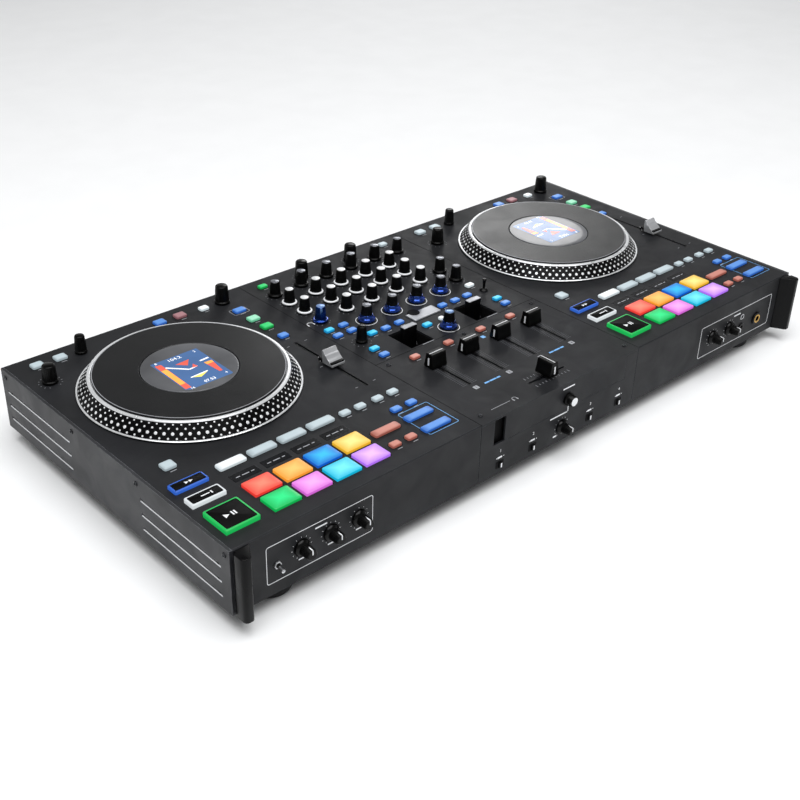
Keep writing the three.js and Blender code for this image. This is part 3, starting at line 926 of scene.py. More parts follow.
# Colour and outline of each shape on the screen, in millimetres from the platter's axis.
SCREEN_SHAPES = (
    ("red", [(-25, -31), (-19, -31), (-18, 19), (-24, 20)]),
    ("amber", [(-24.6, -22), (-19.2, -22), (-18.6, 9), (-24.2, 9)]),
    ("red", [(0, 3), (7, 12), (-8, 11)]),
    ("white", [(-3.4, -4.6), (-2.4, -3.2), (-17.4, 12.4), (-18.4, 11)]),
    ("white", [(-2.6, -4.8), (6.4, -3.6), (6.2, -2.2), (-2.8, -3.2)]),
    ("red", [(0.6, -3.4), (6.4, -3.8), (5.0, 2.6)]),
    ("yellow", [(-2, -21.6), (8, -16.6), (-9, -17.4)]),
    ("white", [(-10, -17.6), (8.4, -16.6), (8.2, -15.4), (-10.2, -16.4)]),
    ("red", [(16, -23.6), (19, -24), (22, -2.4), (14, -2)]),
    ("amber", [(14.6, -6.5), (21.6, -6.5), (22, -2.4), (14, -2)]),
    ("white", [(13, 2.0), (22.6, 2.6), (22.4, 4.4), (12.8, 3.8)]),
)
# Text, size, and its middle's place from the platter's axis.
SCREEN_FIGURES = (
    ("104.2", 6.4, -3, 20.5), ("07.53", 5.4, 1, -30.5), ("8", 4.4, -21, 23), ("2", 4.4, 19, 21),
    ("16", 4.4, -19, -33), ("4", 4.4, 19.5, -29),
)


class CONTROLLER_OT_platters(Operator):
    """Model the platters with their strobe dots, top discs and displays"""

    bl_idname = "controller.platters"
    bl_label = "Platters"

    def execute(self, context):
        for side in SIDES:
            body = f"{side}_platter"
            self.casting(side, body)
            self.dots(side, body)
            self.disc(side, body)
            self.display(side)
        return {"FINISHED"}

    def casting(self, side, body):
        outline = [(80, 1.0), (100.8, 1.0), (101.5, 1.5), (101.5, 1.9), (100.9, 2.3), BAND_FOOT,
                   BAND_HEAD, (90.3, 15.2), (89.4, 15.6), (88.2, 15.6), (87.6, 15.2), (87.4, 14.4),
                   (87.4, 12.6), (80, 12.6), (80, 1.0)]
        casting = spun(180, outline)
        put(casting, on_platter(side))
        keep(casting, f"{side}_platter_rim", platter_metal(side), body,
             replaces=[f"{side}_platter"])
        casting.data.materials.append(platter_black(side))
        low, high = DECK_TOP + BAND_FOOT[1] * MM, DECK_TOP + BAND_HEAD[1] * MM
        axis = PLATTER_AXIS[side]
        for face in casting.data.polygons:
            radius = math.hypot(face.center.x - axis.x, face.center.y - axis.y) / MM
            if low < face.center.z < high and BAND_HEAD[0] < radius < BAND_FOOT[0]:
                face.material_index = 1
        smooth(casting, math.radians(25))

    def dots(self, side, body):
        """Four rings of raised dots on the sloping band."""
        fall = Vector((BAND_FOOT[0] - BAND_HEAD[0], BAND_HEAD[1] - BAND_FOOT[1]))
        lean = Matrix.Rotation(math.atan2(fall.y, fall.x), 4, "Y")
        rows = []
        for row, (share, radius) in enumerate(STROBE_ROWS):
            spot = Vector((BAND_HEAD[0] + fall.x * share, 0, BAND_HEAD[1] - fall.y * share)) * MM
            dot = spun(10, [(0, -0.1), (radius, -0.1), (radius, 0.12), (radius * 0.8, 0.24),
                            (0, 0.24)])
            put(dot, spot, stand=lean)
            dot.data.transform(Matrix.Rotation(math.tau / STROBE_DOTS * 0.5 * (row % 2), 4, "Z"))
            only(dot)
            bpy.ops.object.mode_set(mode="EDIT")
            bpy.ops.mesh.select_all(action="SELECT")
            turn = math.tau * (STROBE_DOTS - 1) / STROBE_DOTS
            bpy.ops.mesh.spin(steps=STROBE_DOTS - 1, dupli=True, angle=turn, center=CENTRE,
                              axis=UPRIGHT)
            bpy.ops.object.mode_set(mode="OBJECT")
            rows.append(dot)
        dots = put(joined(rows), on_platter(side))
        keep(dots, f"{side}_strobe_dots", dot_silver(), body)

    def disc(self, side, body):
        disc = spun(144, [(44.7, 11.3), (86.6, 11.3), (86.7, 11.6), (86.7, 13.3), (86.3, 13.7),
                          (45.3, 13.7), (44.7, 13.2), (44.7, 11.3)])
        put(smooth(disc, math.radians(25)), on_platter(side, DISC_LIFT))
        keep(disc, f"{side}_disc", disc_plastic(side), body,
             replaces=[f"{side}_top_disc"])
        # Painted highlight: a thin grey ring along the disc's outer edge.
        rim = put(ring(144, 85.8, 86.4, 13.6, 13.76, 0.06), on_platter(side, DISC_LIFT))
        keep(rim, f"{side}_disc_rim_highlight", grey_print(), body)

    def display(self, side):
        glass = spun(96, [(0, 9.4), (43.6, 9.4), (44.1, 9.9), (44.1, 13.3), (43.7, 13.75),
                          (42.6, 13.9), (38, 13.8), (0, 13.7)])
        put(smooth(glass, math.radians(20)), on_platter(side, DISC_LIFT))
        keep(glass, f"{side}_display_glass", display_glass(),
             replaces=[f"{side}_display"])
        self.screen(side)

    def screen(self, side):
        """The picture on the display: a blue field, level bars, plain shapes and figures."""
        turn = 0.0 if side == "left" else math.pi
        centre = on_platter(side, DISC_LIFT)
        field = slab(SCREEN["width"], SCREEN["depth"], 13.7, 13.86, corner=0.6, edge=0.02)
        field.data.transform(Matrix.Translation((SCREEN["across"] * MM, SCREEN["back"] * MM, 0)))
        keep(put(field, centre, turn), f"{side}_screen", screen_light("screen_field", "41618f", 0.35))
        light = SCREEN_LIGHT[side]
        for number, (colour, points) in enumerate(SCREEN_SHAPES, 1):
            shape = flat_shape(points, 13.84, SCREEN_TOP + 0.01 * number)
            finish = screen_light(f"screen_{colour}", SCREEN_COLOURS[colour], light)
            keep(put(shape, centre, turn), f"{side}_screen_shape_{number}", finish)
        for number, (text, size, across, back) in enumerate(SCREEN_FIGURES, 1):
            figures = numeral(text, size, 0.06)
            figures.data.transform(Matrix.Translation(Vector((across, back, SCREEN_TOP)) * MM))
            keep(put(figures, centre, turn), f"{side}_screen_figures_{number}",
                 screen_light("screen_white", SCREEN_COLOURS["white"], light))


def screen_light(name, colour, light):
    """A patch of a lit screen under smooth glass."""
    if f"{name}_finish" in bpy.data.materials:
        return bpy.data.materials[f"{name}_finish"]
    material = surface(name, colour, 0.16, wear_and_highlight="ffffff", wear_and_highlight_amount=0.0, bump=0.01, tone=0.1,
                       rounding=0.00002)
    tree = material.node_tree
    shader = tree.nodes["Principled BSDF"]
    place = node(tree, "ShaderNodeTexCoord").outputs["Object"]
    cloud = node(tree, "ShaderNodeTexNoise", {"Vector": place, "Scale": 60.0, "Detail": 1.0})
    base = shade(colour)
    dim = (*[channel * 0.75 for channel in base[:3]], 1.0)
    colour_now = mixed(tree, ranged(tree, cloud.outputs["Fac"], 0.35, 0.65), dim, base)
    tree.links.new(colour_now, shader.inputs["Emission Color"])
    shader.inputs["Emission Strength"].default_value = light
    return material


def numeral(text, size, thickness):
    """Raised figures, centred on the origin."""
    bpy.ops.object.select_all(action="DESELECT")
    bpy.ops.object.text_add()
    words = bpy.context.object
    words.data.body = text
    words.data.size = size * MM
    words.data.align_x = "CENTER"
    words.data.align_y = "CENTER"
    words.data.extrude = thickness * MM
    words.data.resolution_u = 2
    only(words)
    bpy.ops.object.convert(target="MESH")
    return bpy.context.object


# ------------------------------------------------------------------ keys and pads


def glow_from_middle(piece, width, depth, top, gain):
    """Writes how bright each point is lit: 0 on the sides, rising over the top towards the middle."""
    glow = piece.data.attributes.new("glow", "FLOAT", "POINT")
    for vertex, value in zip(piece.data.vertices, glow.data):
        across = abs(vertex.co.x) / (width / 2 * MM)
        along = abs(vertex.co.y) / (depth / 2 * MM)
        on_top = vertex.co.z > (top - 0.25) * MM
        value.value = min(1.0, 0.15 + gain * (1.0 - max(across, along))) if on_top else 0.0


def key(width, depth, rise, corner=1.6):
    """A small key in its dark surround: slot 0 is the surround and slot 1 the key's cap."""
    start_plate(width + 1.4, depth + 1.4, corner + 0.5, 3, -0.1)
    draw_up((width + 1.4, depth + 1.4, -0.1), (width + 1.4, depth + 1.4, 0.1),
            (width + 0.3, depth + 0.3, 0.1), (width + 0.3, depth + 0.3, -0.05),
            (width, depth, -0.05), (width, depth, rise - 0.5),
            (width - 0.35, depth - 0.35, rise - 0.15), (width - 1.1, depth - 1.1, rise),
            (width * 0.6, depth * 0.6, rise + 0.08), (width * 0.2, depth * 0.2, rise + 0.1))
    piece = leave_edit()
    glow_from_middle(piece, width, depth, rise, 3.0)
    return smooth(piece, math.radians(50))


def keep_key(piece, name, cap, slot, body="root"):
    """Keeps a key with its black surround and its coloured cap."""
    piece.data.materials.clear()
    piece.data.materials.append(well_black())
    piece.data.materials.append(cap)
    low = min(vertex.co.z for vertex in piece.data.vertices)
    for face in piece.data.polygons:
        face.material_index = 1 if face.center.z > low + 0.25 * MM else 0
    keep(piece, name, None, body)


def key_light():
    return settings().pads.key_light


def key_caps():
    """The lit and unlit caps, by the word that the layout tables use."""
    light = key_light()
    return {
        "blue": (lit("key_blue", "2058ae", "6ba6ec", light * 1.05), "key_blue"),
        "cyan": (lit("key_cyan", "0880b8", "3fe0ff", light * 1.1), "key_blue"),
        "white": (lit("key_white", "b4bec2", "ffffff", light * 1.2), "key_white"),
        "dim": (lit("key_dim", "95a2a8", "cfdfe5", light * 1.0), "key_white"),
        "pink": (lit("key_pink", "80545a", "c08d93", light * 0.9), "key_salmon"),
        "green": (lit("key_green", "03903e", "22e07a", light * 1.15), "key_green"),
        "mint": (lit("key_mint", "62b88f", "b8f8da", light), "key_green"),
        "salmon": (lit("key_salmon", "955246", "df9888", light), "key_salmon"),
    }


# Name, place across and back on a deck, width, depth, colour.
DECK_KEYS = (
    ("shift", -93.6, 112.3, 12.0, 9.6, "dim"), ("slip", -70.1, 112.3, 12.0, 9.6, "dim"),
    ("deck_select", 38.9, 112.7, 12.0, 9.6, "blue"), ("censor", 62.4, 112.7, 12.0, 9.6, "pink"),
    ("grid", 89.4, 110.7, 10.0, 7.8, "white"), ("motor", 114.4, 84.2, 13.0, 8.6, "blue"),
    ("key_up", 114.4, 60.7, 12.0, 9.6, "mint"), ("key_lock", 114.9, 39.5, 12.0, 9.6, "green"),
    ("key_down", 115.4, 13.7, 10.0, 8.0, "blue"), ("instant", -93.1, -102.8, 12.0, 11.0, "dim"),
    ("mode_1", -52.1, -132.7, 26.8, 9.6, "white"), ("mode_2", -20.8, -132.7, 26.8, 9.6, "dim"),
    ("mode_3", 10.5, -132.7, 26.8, 9.6, "dim"), ("mode_4", 41.8, -132.7, 26.8, 9.6, "dim"),
    ("loop_a", 68.4, -134.0, 10.5, 7.2, "dim"), ("loop_b", 86.0, -134.0, 10.5, 7.2, "dim"),
    ("loop_c", 106.4, -134.0, 10.5, 7.2, "dim"), ("loop_d", 124.4, -134.0, 10.5, 7.2, "dim"),
    ("beat_down", 106.7, -158.3, 10.5, 7.2, "blue"), ("beat_up", 124.8, -158.3, 10.5, 7.2, "blue"),
    ("loop_long", 115.9, -177.3, 30.5, 8.8, "blue"), ("loop_set", 115.9, -199.3, 30.5, 8.8, "blue"),
    ("cue_long", 77.4, -177.3, 29.0, 8.8, "salmon"), ("cue_in", 68.4, -199.2, 10.5, 7.2, "salmon"),
    ("cue_out", 86.4, -199.2, 10.5, 7.2, "salmon"),
)
# The same, on the mixer.
MIXER_KEYS = (
    ("mixer_green", -89.9, 160.6, 10.0, 6.8, "green"), ("mixer_rear", 79.5, 161.5, 10.0, 7.4, "dim"),
    ("effect_left_1", -98.9, 40.8, 10.0, 6.8, "cyan"), ("effect_left_2", -80.8, 40.8, 10.0, 6.8, "blue"),
    ("effect_left_3", -99.2, 26.9, 10.0, 6.8, "blue"), ("effect_left_4", -81.7, 26.9, 10.0, 6.8, "blue"),
    ("assign_1", -70.1, 9.6, 10.0, 6.8, "cyan"), ("assign_2", -53.0, 8.7, 10.0, 6.8, "blue"),
    ("assign_3", -34.7, 9.3, 10.0, 6.8, "blue"), ("assign_4", 24.8, 8.7, 10.0, 6.8, "blue"),
    ("assign_5", 43.0, 8.6, 10.0, 6.8, "blue"), ("assign_6", 60.9, 8.9, 10.0, 6.8, "blue"),
    ("side_left_1", -89.6, -15.6, 10.0, 6.8, "cyan"), ("side_left_2", -89.9, -30.0, 10.0, 6.8, "blue"),
    ("side_right_1", 80.0, -16.2, 10.0, 6.8, "cyan"), ("side_right_2", 78.9, -29.1, 10.0, 6.8, "blue"),
    ("browse_back", -16.8, -12.4, 10.0, 6.8, "cyan"), ("browse_load", 3.9, -11.3, 6.0, 5.0, "white"),
    ("effect_right", 80.0, 24.1, 10.0, 6.8, "white"),
    ("listen_1", -70.9, -52.3, 10.0, 6.8, "salmon"), ("listen_2", -26.4, -52.3, 10.0, 6.8, "salmon"),
    ("listen_3", 17.7, -52.9, 10.0, 6.8, "salmon"), ("listen_4", 61.0, -52.3, 10.0, 6.8, "salmon"),
)
KEY_RISE = 2.2
# Name, colour of the edge and of the lit middle of each pad, in rows from the front.
PAD_COLOURS = (
    (("green", "00a84a", "2cf59a"), ("violet", "cc62cc", "ffc0f6"),
     ("cyan", "00acd0", "86fbfd"), ("purple", "aa6cea", "fccffb")),
    (("red", "e2342c", "ff9c80"), ("orange", "e8922a", "ffd27c"),
     ("blue", "0056c0", "2cd6fd"), ("yellow", "e0aa24", "fffaa4")),
)
PAD = {"width": 26.9, "depth": 20.6, "pitch_across": 31.2, "pitch_back": 24.8, "margin": 4.2,
       "rise": 2.1}


class CONTROLLER_OT_keys(Operator):
    """Model the small lit keys of the decks and the mixer"""

    bl_idname = "controller.keys"
    bl_label = "Keys"

    def execute(self, context):
        caps = key_caps()
        for side in SIDES:
            for name, across, back, width, depth, colour in DECK_KEYS:
                piece = put(key(width, depth, KEY_RISE), on_deck(side, across, back))
                keep_key(piece, f"{side}_{name}_key", *caps[colour])
        for name, across, back, width, depth, colour in MIXER_KEYS:
            piece = put(key(width, depth, KEY_RISE), on_mixer(across, back))
            keep_key(piece, f"{name}_key", *caps[colour])
        return {"FINISHED"}


SYNC_SIZE = (32.3, 12.6)
SYNC_RISE = 3.0
# The column of transport keys: its place across, and each key's place back.
TRANSPORT_ACROSS = -94.8
TRANSPORT_BACK = {"start": -192.4, "cue": -158.3, "sync": -134.9}


def framed_key(width, depth, rise, border, corner=1.6):
    """A translucent key body with a rounded rim round a sunken panel."""
    start_plate(width, depth, corner, 4, -3.5)
    inner, deep = width - 2 * border, depth - 2 * border
    draw_up((width, depth, -3.5), (width, depth, rise - 0.7),
            (width - 0.5, depth - 0.5, rise - 0.2), (width - 1.2, depth - 1.2, rise),
            (inner, deep, rise), (inner - 0.3, deep - 0.3, rise - 0.3),
            (inner - 0.8, deep - 0.8, rise - 0.3), (inner - 1.4, deep - 1.4, rise - 0.05))
    return smooth(leave_edit(), math.radians(40))


class CONTROLLER_OT_transport_keys(Operator):
    """Model the start, cue and sync keys with their lit borders"""

    bl_idname = "controller.transport_keys"
    bl_label = "Transport keys"

    def execute(self, context):
        light = key_light()
        rims = {
            "start": lit("rim_green", "10b552", "8dffb9", light),
            "cue": lit("rim_white", "d5dade", "ffffff", light),
            "sync": lit("rim_blue", "2a5fc4", "86aeff", light),
        }
        for side in SIDES:
            for name, slot in (("start", "key_green"), ("cue", "key_white")):
                low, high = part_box(f"{side}_{name}_key")
                width, depth = (high.x - low.x) / MM - 3, (high.y - low.y) / MM - 3
                rise = (high.z - DECK_TOP) / MM
                middle = (low + high) / 2
                middle.z = DECK_TOP
                piece = put(framed_key(width, depth, rise, 1.7), middle)
                self.paint(piece, rims[name], 1.7)
                keep(piece, f"{side}_{name}_button", None, f"{side}_{name}_key",
                     replaces=[f"{side}_{name}_key"])
            piece = put(framed_key(*SYNC_SIZE, SYNC_RISE, 1.5),
                        on_deck(side, TRANSPORT_ACROSS, TRANSPORT_BACK["sync"]))
            self.paint(piece, rims["sync"], 1.3)
            keep(piece, f"{side}_sync_button", None)
            self.signs(side)
        return {"FINISHED"}

    def top_of(self, node_name):
        """How far a key stands over the cover, in millimetres."""
        return (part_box(node_name)[1].z - DECK_TOP) / MM

    def signs(self, side):
        """Plain printed signs: a triangle and two bars, a dash and a bar, and two arrow heads."""
        start = [flat_shape([(-6, -2.6), (-1.5, 0), (-6, 2.6)], 0, PRINT),
                 put(mark(1.3, 5.0), Vector((1.4 * MM, 0, 0))),
                 put(mark(1.3, 5.0), Vector((3.9 * MM, 0, 0)))]
        cue = [put(mark(8.0, 1.1), CENTRE_POINT), put(mark(1.2, 3.4), Vector((6.0 * MM, 0, 0)))]
        sync = [flat_shape([(shift - 3.4, -1.7), (shift, 0), (shift - 3.4, 1.7)], 0, PRINT)
                for shift in (0.2, 4.2)]
        for name, made, rise in (("start", start, self.top_of(f"{side}_start_key")),
                                 ("cue", cue, self.top_of(f"{side}_cue_key")),
                                 ("sync", sync, SYNC_RISE)):
            sign = put(joined(made), on_deck(side, TRANSPORT_ACROSS, TRANSPORT_BACK[name], rise))
            body = "root" if name == "sync" else f"{side}_{name}_key"
            keep(sign, f"{side}_{name}_sign", white_print(), body)

    def paint(self, piece, rim, border):
        """Gives the sunken panel its black and the rest its light."""
        piece.data.materials.append(rim)
        piece.data.materials.append(label_black())
        across = [vertex.co.x for vertex in piece.data.vertices]
        back = [vertex.co.y for vertex in piece.data.vertices]
        for face in piece.data.polygons:
            spot = face.center
            inside = min(spot.x - min(across), max(across) - spot.x,
                         spot.y - min(back), max(back) - spot.y) > border * MM
            face.material_index = 1 if inside and spot.z > DECK_TOP else 0


class CONTROLLER_OT_pads(Operator):
    """Model the eight lit pads of each deck"""

    bl_idname = "controller.pads"
    bl_label = "Pads"

    def execute(self, context):
        light = settings().pads.pad_light
        for side in SIDES:
            low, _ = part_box(f"{side}_pad_mat")
            first = low + Vector((PAD["margin"] + PAD["width"] / 2,
                                  PAD["margin"] + PAD["depth"] / 2, 0)) * MM
            for row, colours in enumerate(PAD_COLOURS):
                for column, (name, edge, core) in enumerate(colours):
                    spot = Vector((first.x + column * PAD["pitch_across"] * MM,
                                   first.y + row * PAD["pitch_back"] * MM, DECK_TOP))
                    pad = put(self.pad(), spot)
                    keep(pad, f"{side}_pad_{row + 1}_{column + 1}",
                         lit(f"pad_{name}", edge, core, light),
                         replaces=[f"{side}_pad_mat"])
        return {"FINISHED"}

    def pad(self):
        width, depth, rise = PAD["width"], PAD["depth"], PAD["rise"]
        crown = settings().pads.pad_crown / MM
        piece = drawn([(width, depth, -2.0), (width, depth, rise - 0.5),
                       (width - 0.3, depth - 0.3, rise - 0.15), (width - 1.0, depth - 1.0, rise),
                       (width * 0.75, depth * 0.72, rise + crown * 0.3),
                       (width * 0.5, depth * 0.46, rise + crown * 0.5),
                       (width * 0.2, depth * 0.16, rise + crown * 0.6)], corner=1.7, segments=5)
        glow_from_middle(piece, width, depth, rise, 1.05)
        return smooth(piece, math.radians(60))


# ------------------------------------------------------------------ knobs


def knob_body(foot, body, head, height, count=24, start=0.9):
    """The grip of a knob, with shallow flutes all round."""
    sides = count * 2
    piece = spun(sides, [(0, start), (foot, start), (foot, start + 1.6), (body, start + 2.6),
                         (body * 0.55 + head * 0.45, height * 0.6), (head, height - 1.3),
                         (head - 0.25, height - 0.5), (head - 0.8, height), (0, height)])
    flute(piece, sides, start + 2.7, height - 1.4, 0.18)
    return smooth(piece, math.radians(28))


def knob_cap(radius, height):
    """The bright disc let into the top of a knob."""
    return smooth(spun(28, [(0, height - 0.3), (radius, height - 0.3), (radius, height + 0.05),
                            (radius - 0.25, height + 0.18), (0, height + 0.22)]))


def knob_pointer(reach, height, length, width=1.1):
    """The line down the rear side of a knob, from its top edge."""
    line = slab(width, length, 0, 0.5, 0.3, 0.1)
    stand = Matrix.Rotation(math.radians(-90), 4, "X") @ Matrix.Rotation(math.radians(180), 4, "Z")
    return put(line, Vector((0, (reach - 0.35) * MM, (height - length / 2 - 0.4) * MM)), stand=stand)


def skirt_ring(inner, outer, bottom, top):
    """A rounded ring round a knob's foot."""
    edge = min(outer - inner, top - bottom) * 0.3
    return smooth(spun(48, [(inner, bottom), (outer - edge * 0.4, bottom), (outer, bottom + edge),
                            (outer, top - edge), (outer - edge, top), (inner + edge, top),
                            (inner, top - edge * 0.5), (inner, bottom)]), math.radians(50))


class CONTROLLER_OT_mixer_knobs(Operator):
    """Model the mixer's knobs, with rings, skirts and pointers that turn with them"""

    bl_idname = "controller.mixer_knobs"
    bl_label = "Mixer knobs"

    def execute(self, context):
        sizes = settings().knobs
        foot, body, height = sizes.skirt_radius / MM, sizes.body_radius / MM, sizes.height / MM
        head = body - 1.1
        plain = {
            "body": knob_body(foot + 0.1, body, head, height - 0.3),
            "cap": knob_cap(head - 0.6, height - 0.3),
            "pointer": knob_pointer(head, height - 0.3, 7.0),
            "ring": skirt_ring(foot - 2.2, foot + 0.2, 1.5, 3.3),
        }
        filters = {
            "body": knob_body(6.1, 6.0, 5.1, height, start=6.2),
            "cap": knob_cap(4.4, height),
            "pointer": knob_pointer(5.4, height, 7.0),
            "ring": smooth(spun(48, [(5.6, 0.9), (8.6, 0.9), (9.1, 1.4), (9.2, 2.3), (8.8, 3.3),
                                     (7.8, 4.3), (7.0, 5.4), (6.6, 6.6), (6.4, 7.5), (5.6, 7.6),
                                     (5.6, 0.9)]), math.radians(60)),
        }
        for channel in CHANNELS:
            for row in KNOB_ROWS:
                self.knob(f"channel_{channel}_{row}_knob", filters if row == "filter" else plain, row)
        self.knob("browse_encoder", filters, "browse")
        scrap(*plain.values(), *filters.values())
        return {"FINISHED"}

    def knob(self, node_name, masters, row):
        looks = {
            "gain": (knob_gloss(), cap_grey(), "knob_black"),
            "filter": (blue_metal(), cap_grey(), "knob_blue"),
            "browse": (blue_metal(), cap_blue(), "knob_blue"),
        }
        tone_look = (white_print(), cap_silver(), "printed_white")
        ring_finish, cap_finish, ring_slot = looks.get(row, tone_look)
        spot = middle_of(node_name)
        spot.z = DECK_TOP
        finishes = {"body": (knob_rubber(), "knob_black"), "ring": (ring_finish, ring_slot),
                    "cap": (cap_finish, "bright_metal"), "pointer": (white_print(), "printed_white")}
        for word, (finish, slot) in finishes.items():
            keep(put(twin(masters[word]), spot), f"{node_name}_{word}", finish, node_name,
                 replaces=[node_name] if word == "body" else ())
        if row in ("filter", "browse"):
            circle = put(ring(48, 10.5, 11.1, 0.0, PRINT, 0.03), spot)
            keep(circle, f"{node_name}_circle", white_print())


# Knobs that stay still: name, spot across and back, foot radius, top radius, height, ring, cap.
MIXER_SIDE_KNOBS = (
    ("side_knob_1", -92.0, 136.2, 7.7, 4.9, 16.8, "black", "grey"),
    ("side_knob_2", -92.0, 112.3, 7.7, 4.9, 17.0, "white", "silver"),
    ("side_knob_3", -92.0, 87.6, 7.7, 4.9, 17.0, "white", "silver"),
    ("side_knob_4", -92.0, 62.4, 7.9, 4.9, 17.0, "blue", "blue"),
    ("side_knob_5", 79.3, 137.5, 7.7, 4.9, 16.8, "black", "grey"),
    ("side_knob_6", 79.8, 69.2, 7.7, 4.9, 16.8, "black", "grey"),
    ("side_knob_7", 79.5, 44.2, 7.7, 4.9, 16.8, "black", "grey"),
    ("microphone_knob", -43.4, 153.6, 7.6, 6.2, 19.0, "black", "black"),
    ("master_knob", 24.8, 153.9, 7.6, 6.2, 19.0, "black", "black"),
    ("effect_depth_knob", -89.0, 3.6, 6.0, 4.6, 17.6, "black", "black"),
)
DECK_KNOBS = (
    ("pitch_range_knob", -98.8, 78.4, 7.5, 6.0, 18.0, "black", "black"),
    ("beat_knob", -49.8, 109.4, 6.0, 4.8, 18.5, "black", "black"),
    ("select_knob", 112.2, 110.4, 8.0, 6.4, 19.5, "black", "black"),
)


class CONTROLLER_OT_still_knobs(Operator):
    """Model the outer knobs of the mixer and the decks' own knobs"""

    bl_idname = "controller.still_knobs"
    bl_label = "Outer knobs"

    def execute(self, context):
        for row in MIXER_SIDE_KNOBS:
            self.knob(row[0], on_mixer(row[1], row[2]), *row[3:])
        for side in SIDES:
            for row in DECK_KNOBS:
                self.knob(f"{side}_{row[0]}", on_deck(side, row[1], row[2]), *row[3:])
        return {"FINISHED"}

    def knob(self, name, spot, foot, head, height, ring_word, cap_word):
        rings = {"black": (knob_gloss(), "knob_black"), "white": (white_print(), "printed_white"),
                 "blue": (blue_metal(), "knob_blue")}
        caps = {"grey": cap_grey(), "silver": cap_silver(), "blue": cap_blue(), "black": knob_gloss()}
        body = put(knob_body(foot, head + 0.8, head, height), spot)
        blue = ring_word == "blue"
        keep(body, f"{name}_body", dark_blue_metal() if blue else knob_rubber())
        finish, slot = rings[ring_word]
        low, top = (2.0, 3.0) if ring_word == "black" else (1.5, 3.3)
        keep(put(skirt_ring(foot - 2.1, foot + 0.1, low, top), spot), f"{name}_ring", finish)
        keep(put(knob_cap(head - 0.7, height), spot), f"{name}_cap", caps[cap_word])
        pointer = knob_pointer(head, height, height * (0.7 if blue else 0.42), 2.2 if blue else 1.1)
        if blue:
            pointer.data.transform(Matrix.Rotation(math.radians(150), 4, "Z"))
        keep(put(pointer, spot), f"{name}_pointer", cap_blue() if blue else white_print())


# ------------------------------------------------------------------ faders and paddles


# Width, depth and height of a fader cap, from its foot up.
FADER_STEPS = ((18.6, 12.4, 2.6), (18.6, 12.4, 4.8), (18.5, 11.2, 7.0), (18.4, 9.6, 11.0),
               (18.3, 8.7, 14.6), (18.1, 8.3, 16.4), (17.5, 7.6, 17.0))
# The channel faders sit this much lower than the crossfader.
FADER_SINK = 2.0
# Side view of the pitch fader's saddle: place back along the slot, and height.
SADDLE = ((-10.5, 2.6), (3.4, 2.6), (4.4, 14.6), (3.9, 15.4), (2.6, 15.6), (1.6, 14.6),
          (0.4, 12.6), (-0.6, 11.7), (-1.7, 11.3), (-2.8, 10.2), (-3.8, 8.9), (-5.2, 8.1),
          (-6.6, 7.1), (-7.6, 5.8), (-8.8, 5.0), (-10.0, 5.1), (-10.5, 4.4))
SADDLE_HALF = 7.8


def fader_cap():
    """A fader's cap: a wide foot under two hollow slopes, with a flat top."""
    cap = drawn(list(FADER_STEPS), corner=0.7, segments=2)
    return smooth(cap, math.radians(25))


def fader_line():
    """The white lines printed on both ends of a fader's cap, and the thin one along its top, which is a
    painted highlight on the ridge.
    """
    ends = drawn([(18.9, 1.8, 5.0), (18.9, 1.8, 8.0), (18.7, 1.8, 12.6)])
    # The end lines are printed; the thin white line along the top is a painted highlight.
    return joined([ends, slab(17.0, 0.7, 16.8, 17.12, 0, 0.05)])


class CONTROLLER_OT_faders(Operator):
    """Model the channel faders, the crossfader and the pitch faders"""

    bl_idname = "controller.faders"
    bl_label = "Faders"

    def execute(self, context):
        cap, line = fader_cap(), fader_line()
        names = [f"channel_{channel}_fader" for channel in CHANNELS] + ["crossfader"]
        for name in names:
            spot = middle_of(name)
            spot.z = DECK_TOP
            turn = math.radians(90) if name == "crossfader" else 0.0
            if name != "crossfader":
                spot.z -= FADER_SINK * MM
            keep(put(twin(cap), spot, turn), f"{name}_cap", knob_rubber(), name,
                 replaces=[name])
            # Printed end lines, with a painted highlight along the top ridge.
            keep(put(twin(line), spot, turn), f"{name}_line", white_print(), name)
            stem = put(slab(1.6, 3.2, -11.5, 3.0), spot, turn)
            keep(stem, f"{name}_stem", bright_steel(), name)
        scrap(cap, line)
        for side in SIDES:
            self.pitch(side)
        return {"FINISHED"}

    def pitch(self, side):
        """A chrome saddle that climbs from a low front lip to a ribbed ridge, over a black block."""
        name = f"{side}_pitch_fader"
        low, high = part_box(name)
        spot = Vector(((low.x + high.x) / 2, (low.y + high.y) / 2, DECK_TOP))
        saddle = flat_shape(SADDLE, -SADDLE_HALF, SADDLE_HALF)
        along_slot = Matrix.Rotation(math.radians(90), 4, "Z") @ FACING_FRONT
        smooth(put(saddle, CENTRE_POINT, stand=along_slot), math.radians(24))
        keep(put(saddle, spot), f"{side}_pitch_saddle", chrome(), name, replaces=[name])
        block = drawn([(15.4, 20.4, 2.4), (15.4, 20.4, 5.6), (14.6, 19.4, 6.4)], corner=0.8)
        keep(put(smooth(block), spot), f"{side}_pitch_block", black_plastic(), name)
        lines = [put(slab(15.7, 0.8, height, height + 0.8, 0.2, 0.1), Vector((0, back * MM, 0)))
                 for height, back in ((5.2, 9.2), (2.5, 6.6))]
        keep(put(joined(lines), spot), f"{side}_pitch_lines", white_print(), name)
        stem = put(slab(1.4, 5.0, -11.5, 2.6), spot)
        keep(stem, f"{side}_pitch_stem", bright_steel(), name)


